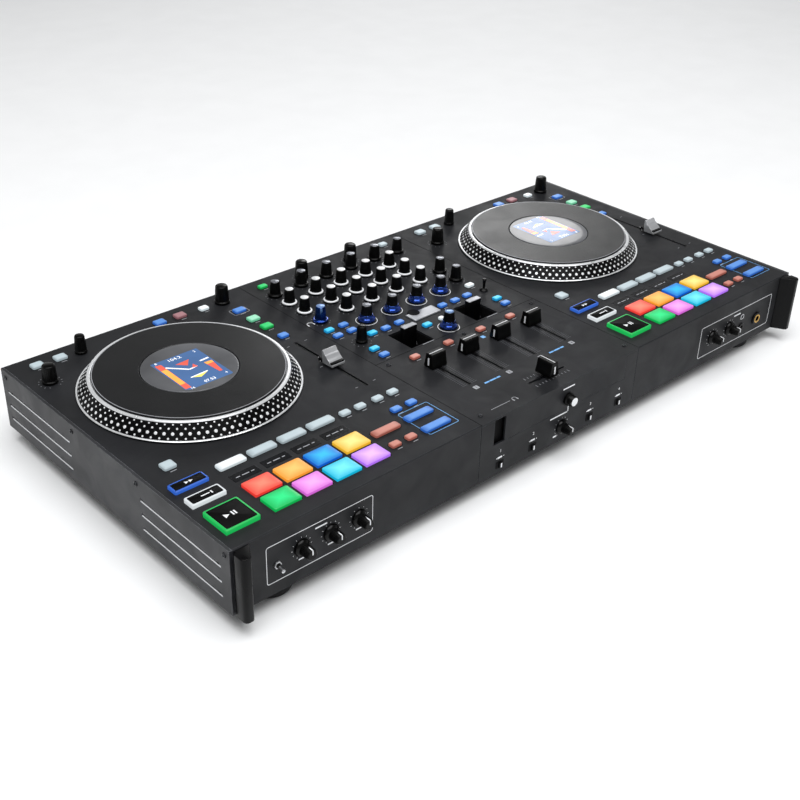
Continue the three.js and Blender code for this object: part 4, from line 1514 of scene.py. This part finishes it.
class CONTROLLER_OT_paddles(Operator):
    """Model the two effect paddles"""

    bl_idname = "controller.paddles"
    bl_label = "Paddles"

    def execute(self, context):
        for side in SIDES:
            name = f"{side}_effect_paddle"
            low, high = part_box(name)
            spot = Vector(((low.x + high.x) / 2, (low.y + high.y) / 2, DECK_TOP))
            blade = drawn([(17.5, 6.8, -13.0), (17.5, 6.8, -4.0), (17.3, 6.2, 6.0), (17.5, 6.9, 10.4),
                           (17.0, 6.4, 11.2)], corner=0.9, segments=3)
            keep(put(smooth(blade), spot), f"{name}_blade", black_plastic(), name,
                 replaces=[name])
            strip = put(slab(16.8, 6.2, 10.9, 11.7, 0.8, 0.25), spot)
            keep(smooth(strip), f"{name}_strip", brushed_silver(), name)
            hub = spun(24, [(0, -10.7), (3.1, -10.7), (3.5, -10.3), (3.5, 10.3), (3.1, 10.7),
                            (0, 10.7)])
            put(hub, spot + Vector((0, 0, -13 * MM)), stand=Matrix.Rotation(math.radians(90), 4, "Y"))
            keep(smooth(hub), f"{name}_hub", bright_steel(), name)
        return {"FINISHED"}


# ------------------------------------------------------------------ prints


PRINT = 0.09
# Seams of the covers: rear edge of the fader plate, and both sides of the mixer.
FADER_SEAM = -39.6
DECK_SEAM = 109.3
# Places back of the fader row, its channel signs and the crossfader's slot.
FADER_ROW = -97.2
SIGN_ROW = -129.0
CROSS_ROW = -155.5
# Place of the pitch slot on a deck, and its travel each way from the middle.
PITCH_SLOT = (116.2, -56.8)
PITCH_REACH = 50.0
# The row of mode windows over the pads: first one's place across, pitch, and place back.
WINDOWS = {"first": -52.0, "pitch": 31.3, "back": -152.0}
LONG_KEY = 20.0


def mark(width, depth, corner=0.0):
    """A flat bar, a hair thick, used for prints and for painted shadow lines over the cover gaps."""
    return slab(width, depth, -0.02, PRINT, corner, 0.02)


def frame_print(width, depth, line, corner):
    """A printed rectangle outline with rounded corners."""
    start_plate(width, depth, corner, 5, PRINT)
    bpy.ops.mesh.inset(thickness=line * MM, depth=0)
    bpy.ops.mesh.delete(type="FACE")
    bpy.ops.mesh.select_all(action="SELECT")
    bpy.ops.mesh.extrude_region_move(TRANSFORM_OT_translate={"value": (0, 0, -PRINT * MM)})
    return leave_edit()


def knob_scale(radius, ticks=11, length=1.6, gap=60.0):
    """Ticks round a knob, open towards its front."""
    made = []
    for tick in range(ticks):
        angle = math.radians(gap / 2 + (360 - gap) * tick / (ticks - 1))
        line = mark(0.35, length)
        line.data.transform(Matrix.Translation((0, -radius * MM, 0)))
        line.data.transform(Matrix.Rotation(-angle, 4, "Z"))
        made.append(line)
    return joined(made)


def ladder(length, count, long_tick, short_tick, line=0.35):
    """A straight scale along Y whose first, middle and last ticks are longer."""
    made = []
    for tick in range(count):
        size = long_tick if tick in (0, count // 2, count - 1) else short_tick
        made.append(put(mark(size, line), Vector((0, (tick / (count - 1) - 0.5) * length * MM, 0))))
    return joined(made)


class CONTROLLER_OT_prints(Operator):
    """Add the printed scales, frames and figures of the top"""

    bl_idname = "controller.prints"
    bl_label = "Prints"

    def execute(self, context):
        self.mixer_scales()
        self.fader_scales()
        self.deck_prints()
        return {"FINISHED"}

    def mixer_scales(self):
        scale = knob_scale(9.6, 11, 1.0)
        marks = []
        for channel in CHANNELS:
            for row in KNOB_ROWS[:4]:
                spot = middle_of(f"channel_{channel}_{row}_knob")
                spot.z = DECK_TOP
                marks.append(put(twin(scale), spot))
        for row in MIXER_SIDE_KNOBS:
            marks.append(put(twin(scale), on_mixer(row[1], row[2])))
        scrap(scale)
        for _, across, back, width, depth, _ in MIXER_KEYS:
            marks.append(put(mark(width * 0.55, 0.7, 0.2), on_mixer(across, back - depth / 2 - 2.6)))
        keep(joined(marks), "mixer_knob_scales", grey_print())
        hook = self.headphone_mark(3.4)
        keep(put(hook, on_mixer(-104.1, 63.3)), "mixer_listen_mark", white_print())

    def headphone_mark(self, radius):
        """A plain headphone sign: a half ring with two ear pads."""
        band = []
        steps = 12
        for step in range(steps + 1):
            angle = math.pi * step / steps
            part = mark(radius * math.pi / steps * 1.15, 0.6)
            part.data.transform(Matrix.Translation((0, radius * MM, 0)))
            part.data.transform(Matrix.Rotation(angle - math.pi / 2, 4, "Z"))
            band.append(part)
        for sign in (-1, 1):
            band.append(put(mark(1.3, 2.6, 0.3), Vector((sign * radius * MM, -1.3 * MM, 0))))
        return joined(band)

    def fader_scales(self):
        """Ladders, channel signs, painted shadow lines over the gaps between the covers, and slot rims
        of the fader plate.
        """
        marks, ticks, figures, slots = [], [], [], []
        places = [middle_of(f"channel_{channel}_fader").x / MM for channel in CHANNELS]
        for channel, x in zip(CHANNELS, places):
            for sign in (-1, 1):
                ticks.append(put(ladder(46.0, 21, 6.6, 5.4), on_mixer(x + sign * 6.0, FADER_ROW)))
            marks.append(put(mark(5.4, 5.2, 0.8), on_mixer(x, SIGN_ROW)))
            figures.append(put(numeral(str(channel), 4.6, 0.04),
                               on_mixer(x, SIGN_ROW, PRINT + 0.03)))
        for sign in (-1, 1):
            scale = ladder(44.0, 11, 3.4, 2.2)
            marks.append(put(scale, on_mixer(0, CROSS_ROW + sign * 7.6), math.radians(90)))
        marks.append(put(mark(24.0, 0.5), on_mixer(-72.0, -165.0)))
        marks.append(put(self.headphone_mark(2.4), on_mixer(-54.0, -165.0)))
        keep(joined(marks), "fader_scales", grey_print())
        keep(joined(ticks), "fader_ladders", dim_print())
        # Painted shadow: black lines over the gaps between the covers, where shade falls.
        seam_shadows = [put(mark(2 * DECK_SEAM, 0.9), on_mixer(0, FADER_SEAM))]
        for sign in (-1, 1):
            seam_shadows.append(put(mark(0.9, 355.0), on_mixer(sign * DECK_SEAM, 0.0)))
        keep(joined(seam_shadows), "cover_seam_shadows", well_black())
        keep(joined(figures), "fader_numbers", black_plastic())
        lines = [put(mark(size, 2.0, 0.4), on_mixer(sign * 44.5 + shift, SIGN_ROW))
                 for sign in (-1, 1) for size, shift in ((6.0, -7.6), (8.4, 0.4), (4.6, 7.6))]
        lines.append(put(mark(4.5, 4.5, 0.5), on_mixer(8.6, -65.2)))
        keep(joined(lines), "fader_plate_blue_marks", blue_print())
        for x in places:
            slots.append(put(frame_print(4.4, 50.6, 0.8, 1.2), on_mixer(x, FADER_ROW)))
        slots.append(put(frame_print(50.6, 4.4, 0.8, 1.2), on_mixer(0, CROSS_ROW)))
        keep(joined(slots), "fader_slot_rims", black_plastic())

    def deck_prints(self):
        for side in SIDES:
            marks = []
            slot_x, slot_y = PITCH_SLOT
            for reach in (-PITCH_REACH, 0.0, PITCH_REACH):
                for shift in (10.6, -10.6):
                    marks.append(put(mark(3.0, 0.5), on_deck(side, slot_x + shift, slot_y + reach)))
            marks.append(put(frame_print(18.5, 12.6, 0.5, 2.0), on_deck(side, 114.4, 84.2)))
            marks.append(put(knob_scale(10.4, 13, 1.2), on_deck(side, *DECK_KNOBS[0][1:3])))
            columns = [WINDOWS["first"] + WINDOWS["pitch"] * column for column in range(4)]
            for column in columns:
                for shift, size in ((-7.0, 4.0), (0.5, 7.0), (7.6, 3.0)):
                    marks.append(put(slab(size, 1.0, 0, 0.16, 0, 0.02),
                                     on_deck(side, column + shift, WINDOWS["back"])))
            for _, across, back, width, depth, _ in DECK_KEYS:
                if width < LONG_KEY:
                    marks.append(put(mark(width * 0.5, 0.7, 0.2),
                                     on_deck(side, across, back - depth / 2 - 2.8)))
            keep(joined(marks), f"{side}_deck_prints", grey_print())
            rim = put(frame_print(4.4, 107.3, 0.9, 1.2), on_deck(side, slot_x, slot_y))
            keep(rim, f"{side}_pitch_slot_rim", black_plastic())
            frame_lines = put(frame_print(35.0, 42.0, 0.5, 2.0), on_deck(side, 119.4, -186.2))
            keep(frame_lines, f"{side}_loop_frame", blue_print())
            windows = [put(slab(26.5, 11.0, -0.02, 0.12, 0.8, 0.05),
                           on_deck(side, column, WINDOWS["back"])) for column in columns]
            keep(joined(windows), f"{side}_mode_windows", window_black())


# ------------------------------------------------------------------ silver plate and lever


LEVER = (84.2, 7.0)


class CONTROLLER_OT_mixer_fittings(Operator):
    """Model the silver plate and the small lever of the mixer"""

    bl_idname = "controller.mixer_fittings"
    bl_label = "Mixer fittings"

    def execute(self, context):
        plate = put(smooth(slab(36.0, 15.0, 0, 1.2, 1.0, 0.35)), on_mixer(-2.0, 8.5))
        keep(plate, "effect_plate", brushed_silver())
        # Painted shade: a dark round patch on the plate for the shadow and reflection of the knob beside
        # it.
        notch = put(smooth(spun(40, [(0, 0.2), (6.4, 0.2), (6.4, 1.3), (6.0, 1.6), (0, 1.5)])),
                    on_mixer(-9.5, 15.2))
        keep(notch, "effect_plate_knob_shadow", well_black())
        lines = [put(mark(15.0, 0.8), on_mixer(x + 6.0, -38.6)) for x in (-46.0, 43.5)]
        keep(joined(lines), "paddle_well_lines", grey_print())
        collar = put(smooth(spun(24, [(0, 0), (4.6, 0), (4.6, 0.8), (3.8, 1.5), (2.4, 2.6), (0, 2.8)])),
                     on_mixer(*LEVER))
        keep(collar, "lever_collar", black_plastic())
        lever = put(smooth(spun(16, [(0, 1), (1.4, 1), (1.3, 7), (1.9, 10.5), (2.3, 12.4), (1.6, 13.4),
                                     (0, 13.6)])), on_mixer(*LEVER))
        keep(lever, "lever_stick", knob_gloss())
        return {"FINISHED"}


# ------------------------------------------------------------------ front controls


# Name, place across and over the lower edge, radius.
FRONT_KNOBS = (
    ("front_knob_1", -308.5, 32.0, 5.6), ("front_knob_2", -279.0, 32.0, 5.6),
    ("front_knob_3", -249.5, 32.0, 5.6), ("front_knob_4", 1.3, 16.1, 5.2),
    ("front_knob_5", 239.8, 28.5, 5.2), ("front_knob_6", 270.4, 28.9, 5.2),
)
FRONT_KNOB_REACH = 14.0
FRONT_SWITCHES = (-82.0, -38.3, 42.6, 86.0)
SWITCH_HEIGHT = 10.0
SWITCH_PRINTS = 17.6
# Place, width and height of each printed frame.
FRONT_FRAMES = ((-288.7, 29.7, 108.5, 36.5), (283.0, 27.5, 130.0, 36.0))
CURVE_KNOB = (6.8, 44.1)
TOGGLE = (-332.7, 27.4)
SMALL_SOCKET = (294.1, 22.8)
LARGE_SOCKET = (322.0, 24.0)


class CONTROLLER_OT_front_controls(Operator):
    """Model the knobs, switches, sockets and printed frames of the front"""

    bl_idname = "controller.front_controls"
    bl_label = "Front controls"

    def execute(self, context):
        self.prints()
        for row in FRONT_KNOBS:
            self.knob(*row)
        self.curve_knob()
        self.switches()
        self.toggle()
        self.sockets()
        return {"FINISHED"}

    def prints(self):
        """Frames, knob scales, switch figures, dashes and the sign over the small socket."""
        marks = []
        for across, height, width, depth in FRONT_FRAMES:
            marks.append(at_front(frame_print(width, depth, 0.55, 2.5), across, height))
            marks.append(at_front(mark(12.0, 1.4, 0.3), across, height + depth / 2 - 5.0))
        for _, across, height, radius in FRONT_KNOBS:
            marks.append(at_front(knob_scale(radius + 4.0, 11, 0.9), across, height))
            if radius > 5.4:
                marks.append(at_front(mark(6.4, 1.3, 0.3), across, height - 11.0))
        for number, across in enumerate(FRONT_SWITCHES, 1):
            marks.append(at_front(mark(6.0, 1.8, 0.4), across - 0.6, SWITCH_PRINTS))
            for shift in (-4.6, 4.6):
                marks.append(at_front(mark(0.9, 0.9), across + shift, SWITCH_PRINTS))
            marks.append(at_front(numeral(str(number), 4.4, 0.05), across, 24.4, 0.04))
        marks.append(at_front(mark(5.0, 1.6, 0.3), -7.0, 8.0))
        sign = [put(mark(1.3, 2.6, 0.3), Vector((side * 2.6 * MM, -1.0 * MM, 0)))
                for side in (-1, 1)]
        sign.append(frame_print(6.0, 5.6, 0.6, 2.4))
        marks.append(at_front(joined(sign), 294.0, 34.5))
        keep(joined(marks), "front_prints", white_print())

    def knob(self, name, across, height, radius):
        top = FRONT_KNOB_REACH
        collar = smooth(spun(36, [(0, 0.1), (radius + 2.2, 0.1), (radius + 2.2, 1.4),
                                  (radius + 1.2, 3.0), (radius - 0.4, 4.0), (0, 4.0)]))
        keep(at_front(collar, across, height), f"{name}_collar", knob_gloss())
        body = knob_body(radius, radius, radius - 0.8, top, count=18, start=0.3)
        keep(at_front(body, across, height), f"{name}_body", knob_rubber())
        line = slab(1.1, radius * 0.8, top - 0.1, top + 0.15, 0.3, 0.05)
        line = joined([knob_pointer(radius - 0.7, top, 6.0),
                       put(line, Vector((0, radius * 0.45 * MM, 0)))])
        keep(at_front(line, across, height), f"{name}_pointer", white_print())

    def curve_knob(self):
        """A short knob with a white face, and the printed lines near it."""
        body = smooth(spun(32, [(0, 0.2), (6.6, 0.2), (6.6, 2.2), (5.6, 3.2), (5.2, 7.5),
                                (4.7, 8.2), (0, 8.2)]))
        keep(at_front(body, *CURVE_KNOB), "fader_curve_knob_body", knob_rubber())
        face = smooth(spun(28, [(0, 7.9), (4.3, 7.9), (4.3, 8.3), (4.0, 8.5), (0, 8.6)]))
        keep(at_front(face, *CURVE_KNOB), "fader_curve_knob_face", cap_silver())
        lines = [at_front(mark(24.0, 1.3), -4.0, 29.7), at_front(mark(1.3, 6.0), 8.6, 33.0),
                 at_front(mark(16.0, 1.3), 6.8, 56.5)]
        keep(joined(lines), "front_middle_lines", white_print())

    def switches(self):
        for number, across in enumerate(FRONT_SWITCHES, 1):
            name = f"front_switch_{number}"
            bezel = smooth(slab(10.0, 7.6, 0, 0.4, 0.8, 0.15))
            keep(at_front(bezel, across, SWITCH_HEIGHT), f"{name}_bezel", well_black())
            slider = smooth(slab(4.4, 5.6, 0.3, 2.2, 0.4, 0.3))
            keep(at_front(slider, across, SWITCH_HEIGHT), f"{name}_slider", black_plastic())
            line = slab(1.5, 4.6, 2.1, 2.4, 0.3, 0.05)
            keep(at_front(line, across, SWITCH_HEIGHT), f"{name}_line", white_print())

    def toggle(self):
        """A small lever switch that leans down."""
        nut = spun(6, [(0, 0), (3.5, 0), (3.5, 1.4), (3.1, 1.8), (0, 1.8)])
        keep(at_front(nut, *TOGGLE), "front_toggle_nut", bright_steel())
        collar = smooth(spun(20, [(0, 1.7), (2.4, 1.7), (2.2, 2.6), (1.4, 3.2), (0, 3.2)]))
        keep(at_front(collar, *TOGGLE), "front_toggle_collar", knob_gloss())
        stick = smooth(spun(18, [(0, 1), (1.2, 1), (1.1, 5), (1.7, 7.4), (1.8, 8.2), (1.2, 8.9),
                                 (0, 9.0)]))
        stick.data.transform(Matrix.Rotation(math.radians(14), 4, "X"))
        keep(at_front(stick, *TOGGLE), "front_toggle_stick", bright_steel())

    def sockets(self):
        """The small and the large headphone socket."""
        small = smooth(spun(28, [(1.8, -0.5), (4.3, -0.5), (4.3, 0.8), (3.9, 1.3), (2.1, 1.3),
                                 (1.8, 1.0), (1.8, -0.5)]))
        keep(at_front(small, *SMALL_SOCKET), "small_headphone_ring", black_plastic())
        dark = spun(20, [(0, -0.2), (1.9, -0.2), (1.9, 0.1), (0, 0.1)])
        keep(at_front(dark, *SMALL_SOCKET), "small_headphone_bore", well_black())
        nut = smooth(spun(36, [(3.35, -0.5), (7.2, -0.5), (7.2, 1.2), (6.6, 2.0), (3.9, 2.0),
                               (3.35, 1.5), (3.35, -0.5)]))
        keep(at_front(nut, *LARGE_SOCKET), "headphone_nut", black_plastic())
        lip = smooth(spun(36, [(3.3, 1.6), (4.9, 1.6), (4.9, 2.3), (4.4, 2.6), (3.3, 2.4),
                               (3.3, 1.6)]))
        keep(at_front(lip, *LARGE_SOCKET), "headphone_lip", brass())


# ------------------------------------------------------------------ rear sockets


PHONO_PLACES = (-330.0, -300.0, -270.0, -240.0)
PHONO_HEIGHTS = {"lower": 22.0, "upper": 42.0}
ROUND_PLACES = (-180.0, -145.0, -95.0, -60.0)
DATA_PLACES = (150.0, 180.0)
POWER_SWITCH = 215.0
VENTS = {"first": -10.0, "pitch": 5.0, "count": 24}
# Blades of the mains inlet: place across and up from its middle.
BLADES = ((-7.0, -1.5), (0.0, 2.5), (7.0, -1.5))


class CONTROLLER_OT_rear_sockets(Operator):
    """Model the sockets, switch and vents of the rear wall"""

    bl_idname = "controller.rear_sockets"
    bl_label = "Rear sockets"

    def execute(self, context):
        for number, across in enumerate(PHONO_PLACES, 1):
            self.phono_pair(f"phono_{number}", across)
        for number, across in enumerate(ROUND_PLACES, 1):
            self.round_socket(f"round_socket_{number}", across)
        for number, across in enumerate(DATA_PLACES, 1):
            self.data_port(f"data_port_{number}", across)
        self.power_switch()
        self.blades()
        self.vents()
        return {"FINISHED"}

    def phono_pair(self, name, across):
        """A red socket under a white one."""
        colours = {"lower": surface("socket_red", "a3201d", 0.4, wear_and_highlight="d8605c"),
                   "upper": cap_silver()}
        for row, height in PHONO_HEIGHTS.items():
            collar = smooth(spun(24, [(0, 0), (6.0, 0), (6.0, 0.8), (4.6, 1.2), (0, 1.2)]))
            keep(at_back(collar, across, height), f"{name}_{row}_collar", colours[row])
            barrel = smooth(spun(24, [(0, 1), (4.1, 1), (4.1, 7.5), (3.7, 7.8), (2.2, 7.8),
                                      (2.0, 7.4), (2.0, 2.4), (0, 2.4)]))
            keep(at_back(barrel, across, height), f"{name}_{row}_barrel", bright_steel())

    def data_port(self, name, across):
        shell = smooth(drawn([(13.0, 12.0, 0), (13.0, 12.0, 1.0), (12.4, 11.4, 1.2),
                              (9.4, 8.6, 1.2), (9.2, 8.4, -0.4)], 1.2, 3))
        keep(at_back(shell, across), f"{name}_shell", bright_steel())
        tongue = slab(5.6, 3.4, -0.4, 0.8, 0.3, 0.1)
        keep(at_back(tongue, across), f"{name}_tongue", black_plastic())

    def power_switch(self):
        bezel = smooth(slab(16.0, 24.0, 0, 1.2, 1.2, 0.4))
        keep(at_back(bezel, POWER_SWITCH), "power_switch_frame", black_plastic())
        rocker = smooth(drawn([(11.0, 19.0, 1.0), (11.0, 19.0, 2.6), (10.4, 16.0, 3.4)], 0.8, 3))
        keep(at_back(rocker, POWER_SWITCH), "power_switch_rocker", knob_gloss())

    def round_socket(self, name, across):
        """A round-cornered flange with a deep round mouth and three pins."""
        flange = smooth(slab(26.0, 30.0, 0, 1.4, 2.5, 0.4, 5))
        keep(at_back(flange, across), f"{name}_flange", black_plastic())
        mouth = smooth(spun(40, [(8.4, 1.0), (11.2, 1.0), (11.2, 2.4), (10.6, 3.0), (9.0, 3.0),
                                 (8.4, 2.4), (8.4, 1.0)]))
        keep(at_back(mouth, across), f"{name}_mouth", bright_steel())
        bed = spun(32, [(0, 1.2), (8.6, 1.2), (8.6, 1.6), (0, 1.6)])
        keep(at_back(bed, across), f"{name}_bed", well_black())
        pins = []
        for angle in (math.radians(90), math.radians(210), math.radians(330)):
            pin = spun(12, [(0, 1.4), (1.1, 1.4), (1.1, 2.3), (0.8, 2.5), (0, 2.5)])
            pins.append(put(pin, Vector((math.cos(angle), math.sin(angle), 0)) * 4.2 * MM))
        keep(at_back(joined(pins), across), f"{name}_pins", brass())

    def blades(self):
        """The three blades of the mains inlet."""
        spot = middle_of("power_inlet")
        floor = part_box("power_inlet")[0].y + 1.5 * MM
        blades = []
        for across, rise in BLADES:
            place = Vector((spot.x + across * MM, floor, spot.z + rise * MM))
            blades.append(put(slab(2.0, 5.0, 0, 15.0, 0.3, 0.3), place, stand=FACING_BACK))
        keep(joined(blades), "power_inlet_blades", bright_steel())

    def vents(self):
        slots = [at_back(slab(2.0, 22.0, 0, 0.25, 0.9, 0.08),
                         VENTS["first"] + VENTS["pitch"] * step) for step in range(VENTS["count"])]
        keep(joined(slots), "rear_vents", well_black())


# ------------------------------------------------------------------ stage


class CONTROLLER_OT_stage(Operator):
    """Add the floor, the studio light and the camera"""

    bl_idname = "controller.stage"
    bl_label = "Stage"

    def execute(self, context):
        self.floor()
        self.light()
        self.camera(context)
        context.scene.view_settings.view_transform = "Standard"
        return {"FINISHED"}

    def floor(self):
        bpy.ops.object.select_all(action="DESELECT")
        bpy.ops.mesh.primitive_plane_add(size=16)
        floor = bpy.context.object
        floor.name = "studio_floor"
        floor.data.materials.append(surface("studio_white", "f4f5f6", 0.7, wear_and_highlight="ffffff",
                                            wear_and_highlight_amount=0.0, tone=0.01, bump=0.0, specular=0.2))

    def light(self):
        stage = settings().stage
        self.lamp("overhead_lamp", (-0.35, -0.55, 2.5), (0, 0, 0), 2.8, 2.6, stage.key_power)
        self.lamp("rear_panel", (2.0, 1.95, 1.3), (0.2, 0.0, DECK_TOP), 0.9, 0.7, stage.rear_power)
        world = bpy.data.worlds.new("studio")
        world.use_nodes = True
        tree = world.node_tree
        direction = node(tree, "ShaderNodeTexCoord").outputs["Generated"]
        height = node(tree, "ShaderNodeSeparateXYZ", {0: direction}).outputs["Z"]
        fall = ranged(tree, height, 0.1, 0.62, 1.0, 0.22)
        strength = product(tree, fall, stage.world_light)
        background = tree.nodes["Background"]
        background.inputs["Color"].default_value = (1, 1, 1, 1)
        tree.links.new(strength, background.inputs["Strength"])
        bpy.context.scene.world = world

    def lamp(self, name, spot, aim, width, depth, power):
        data = bpy.data.lights.new(name, "AREA")
        data.shape = "RECTANGLE"
        data.size = width
        data.size_y = depth
        data.energy = power
        lamp = bpy.data.objects.new(name, data)
        bpy.context.collection.objects.link(lamp)
        lamp.location = spot
        lamp.rotation_euler = (Vector(spot) - Vector(aim)).to_track_quat("Z", "Y").to_euler()

    def camera(self, context):
        stage = settings().stage
        cos_up = math.cos(stage.elevation)
        back = Vector((math.sin(stage.azimuth) * cos_up, -math.cos(stage.azimuth) * cos_up,
                       math.sin(stage.elevation)))
        level = Vector((math.cos(stage.azimuth), math.sin(stage.azimuth), 0))
        upward = back.cross(level)
        right = math.cos(stage.roll) * level + math.sin(stage.roll) * upward
        up = math.cos(stage.roll) * upward - math.sin(stage.roll) * level
        data = bpy.data.cameras.new("camera")
        data.lens = stage.lens
        data.sensor_width = 36
        data.clip_end = 50
        camera = bpy.data.objects.new("camera", data)
        context.collection.objects.link(camera)
        origin = Vector((0, CASE_MIDDLE, CASE_BOTTOM))
        spot = origin - stage.side_step * right - stage.up_step * up + stage.distance * back
        camera.matrix_world = Matrix.Translation(spot) @ Matrix((right, up, back)).transposed().to_4x4()
        context.scene.camera = camera


# ------------------------------------------------------------------ add-on


class CONTROLLER_PT_pieces(Panel):
    """Lists the pieces of the controller"""

    bl_idname = "CONTROLLER_PT_pieces"
    bl_label = "DJ controller"
    bl_space_type = "VIEW_3D"
    bl_region_type = "UI"
    bl_category = "Controller"

    def draw(self, context):
        layout = self.layout
        for operator in OPERATORS:
            layout.operator(operator.bl_idname)
        chosen = context.scene.dj_controller
        for group in (chosen.case, chosen.knobs, chosen.pads, chosen.stage):
            box = layout.box()
            for name in group.__annotations__:
                box.prop(group, name)


SETTINGS = (CaseSettings, KnobSettings, PadSettings, StageSettings, ControllerSettings)
OPERATORS = (
    CONTROLLER_OT_stage, CONTROLLER_OT_case, CONTROLLER_OT_platters, CONTROLLER_OT_pads,
    CONTROLLER_OT_transport_keys, CONTROLLER_OT_keys, CONTROLLER_OT_mixer_knobs,
    CONTROLLER_OT_still_knobs, CONTROLLER_OT_faders, CONTROLLER_OT_paddles,
    CONTROLLER_OT_mixer_fittings, CONTROLLER_OT_prints, CONTROLLER_OT_front_controls,
    CONTROLLER_OT_rear_sockets,
)


def register():
    for cls in (*SETTINGS, *OPERATORS, CONTROLLER_PT_pieces):
        bpy.utils.register_class(cls)
    bpy.types.Scene.dj_controller = PointerProperty(type=ControllerSettings)


def unregister():
    del bpy.types.Scene.dj_controller
    for cls in reversed((*SETTINGS, *OPERATORS, CONTROLLER_PT_pieces)):
        bpy.utils.unregister_class(cls)


def main():
    """Builds everything in order."""
    register()
    for operator in OPERATORS:
        group, name = operator.bl_idname.split(".")
        getattr(getattr(bpy.ops, group), name)()


if __name__ == "__main__":
    main()
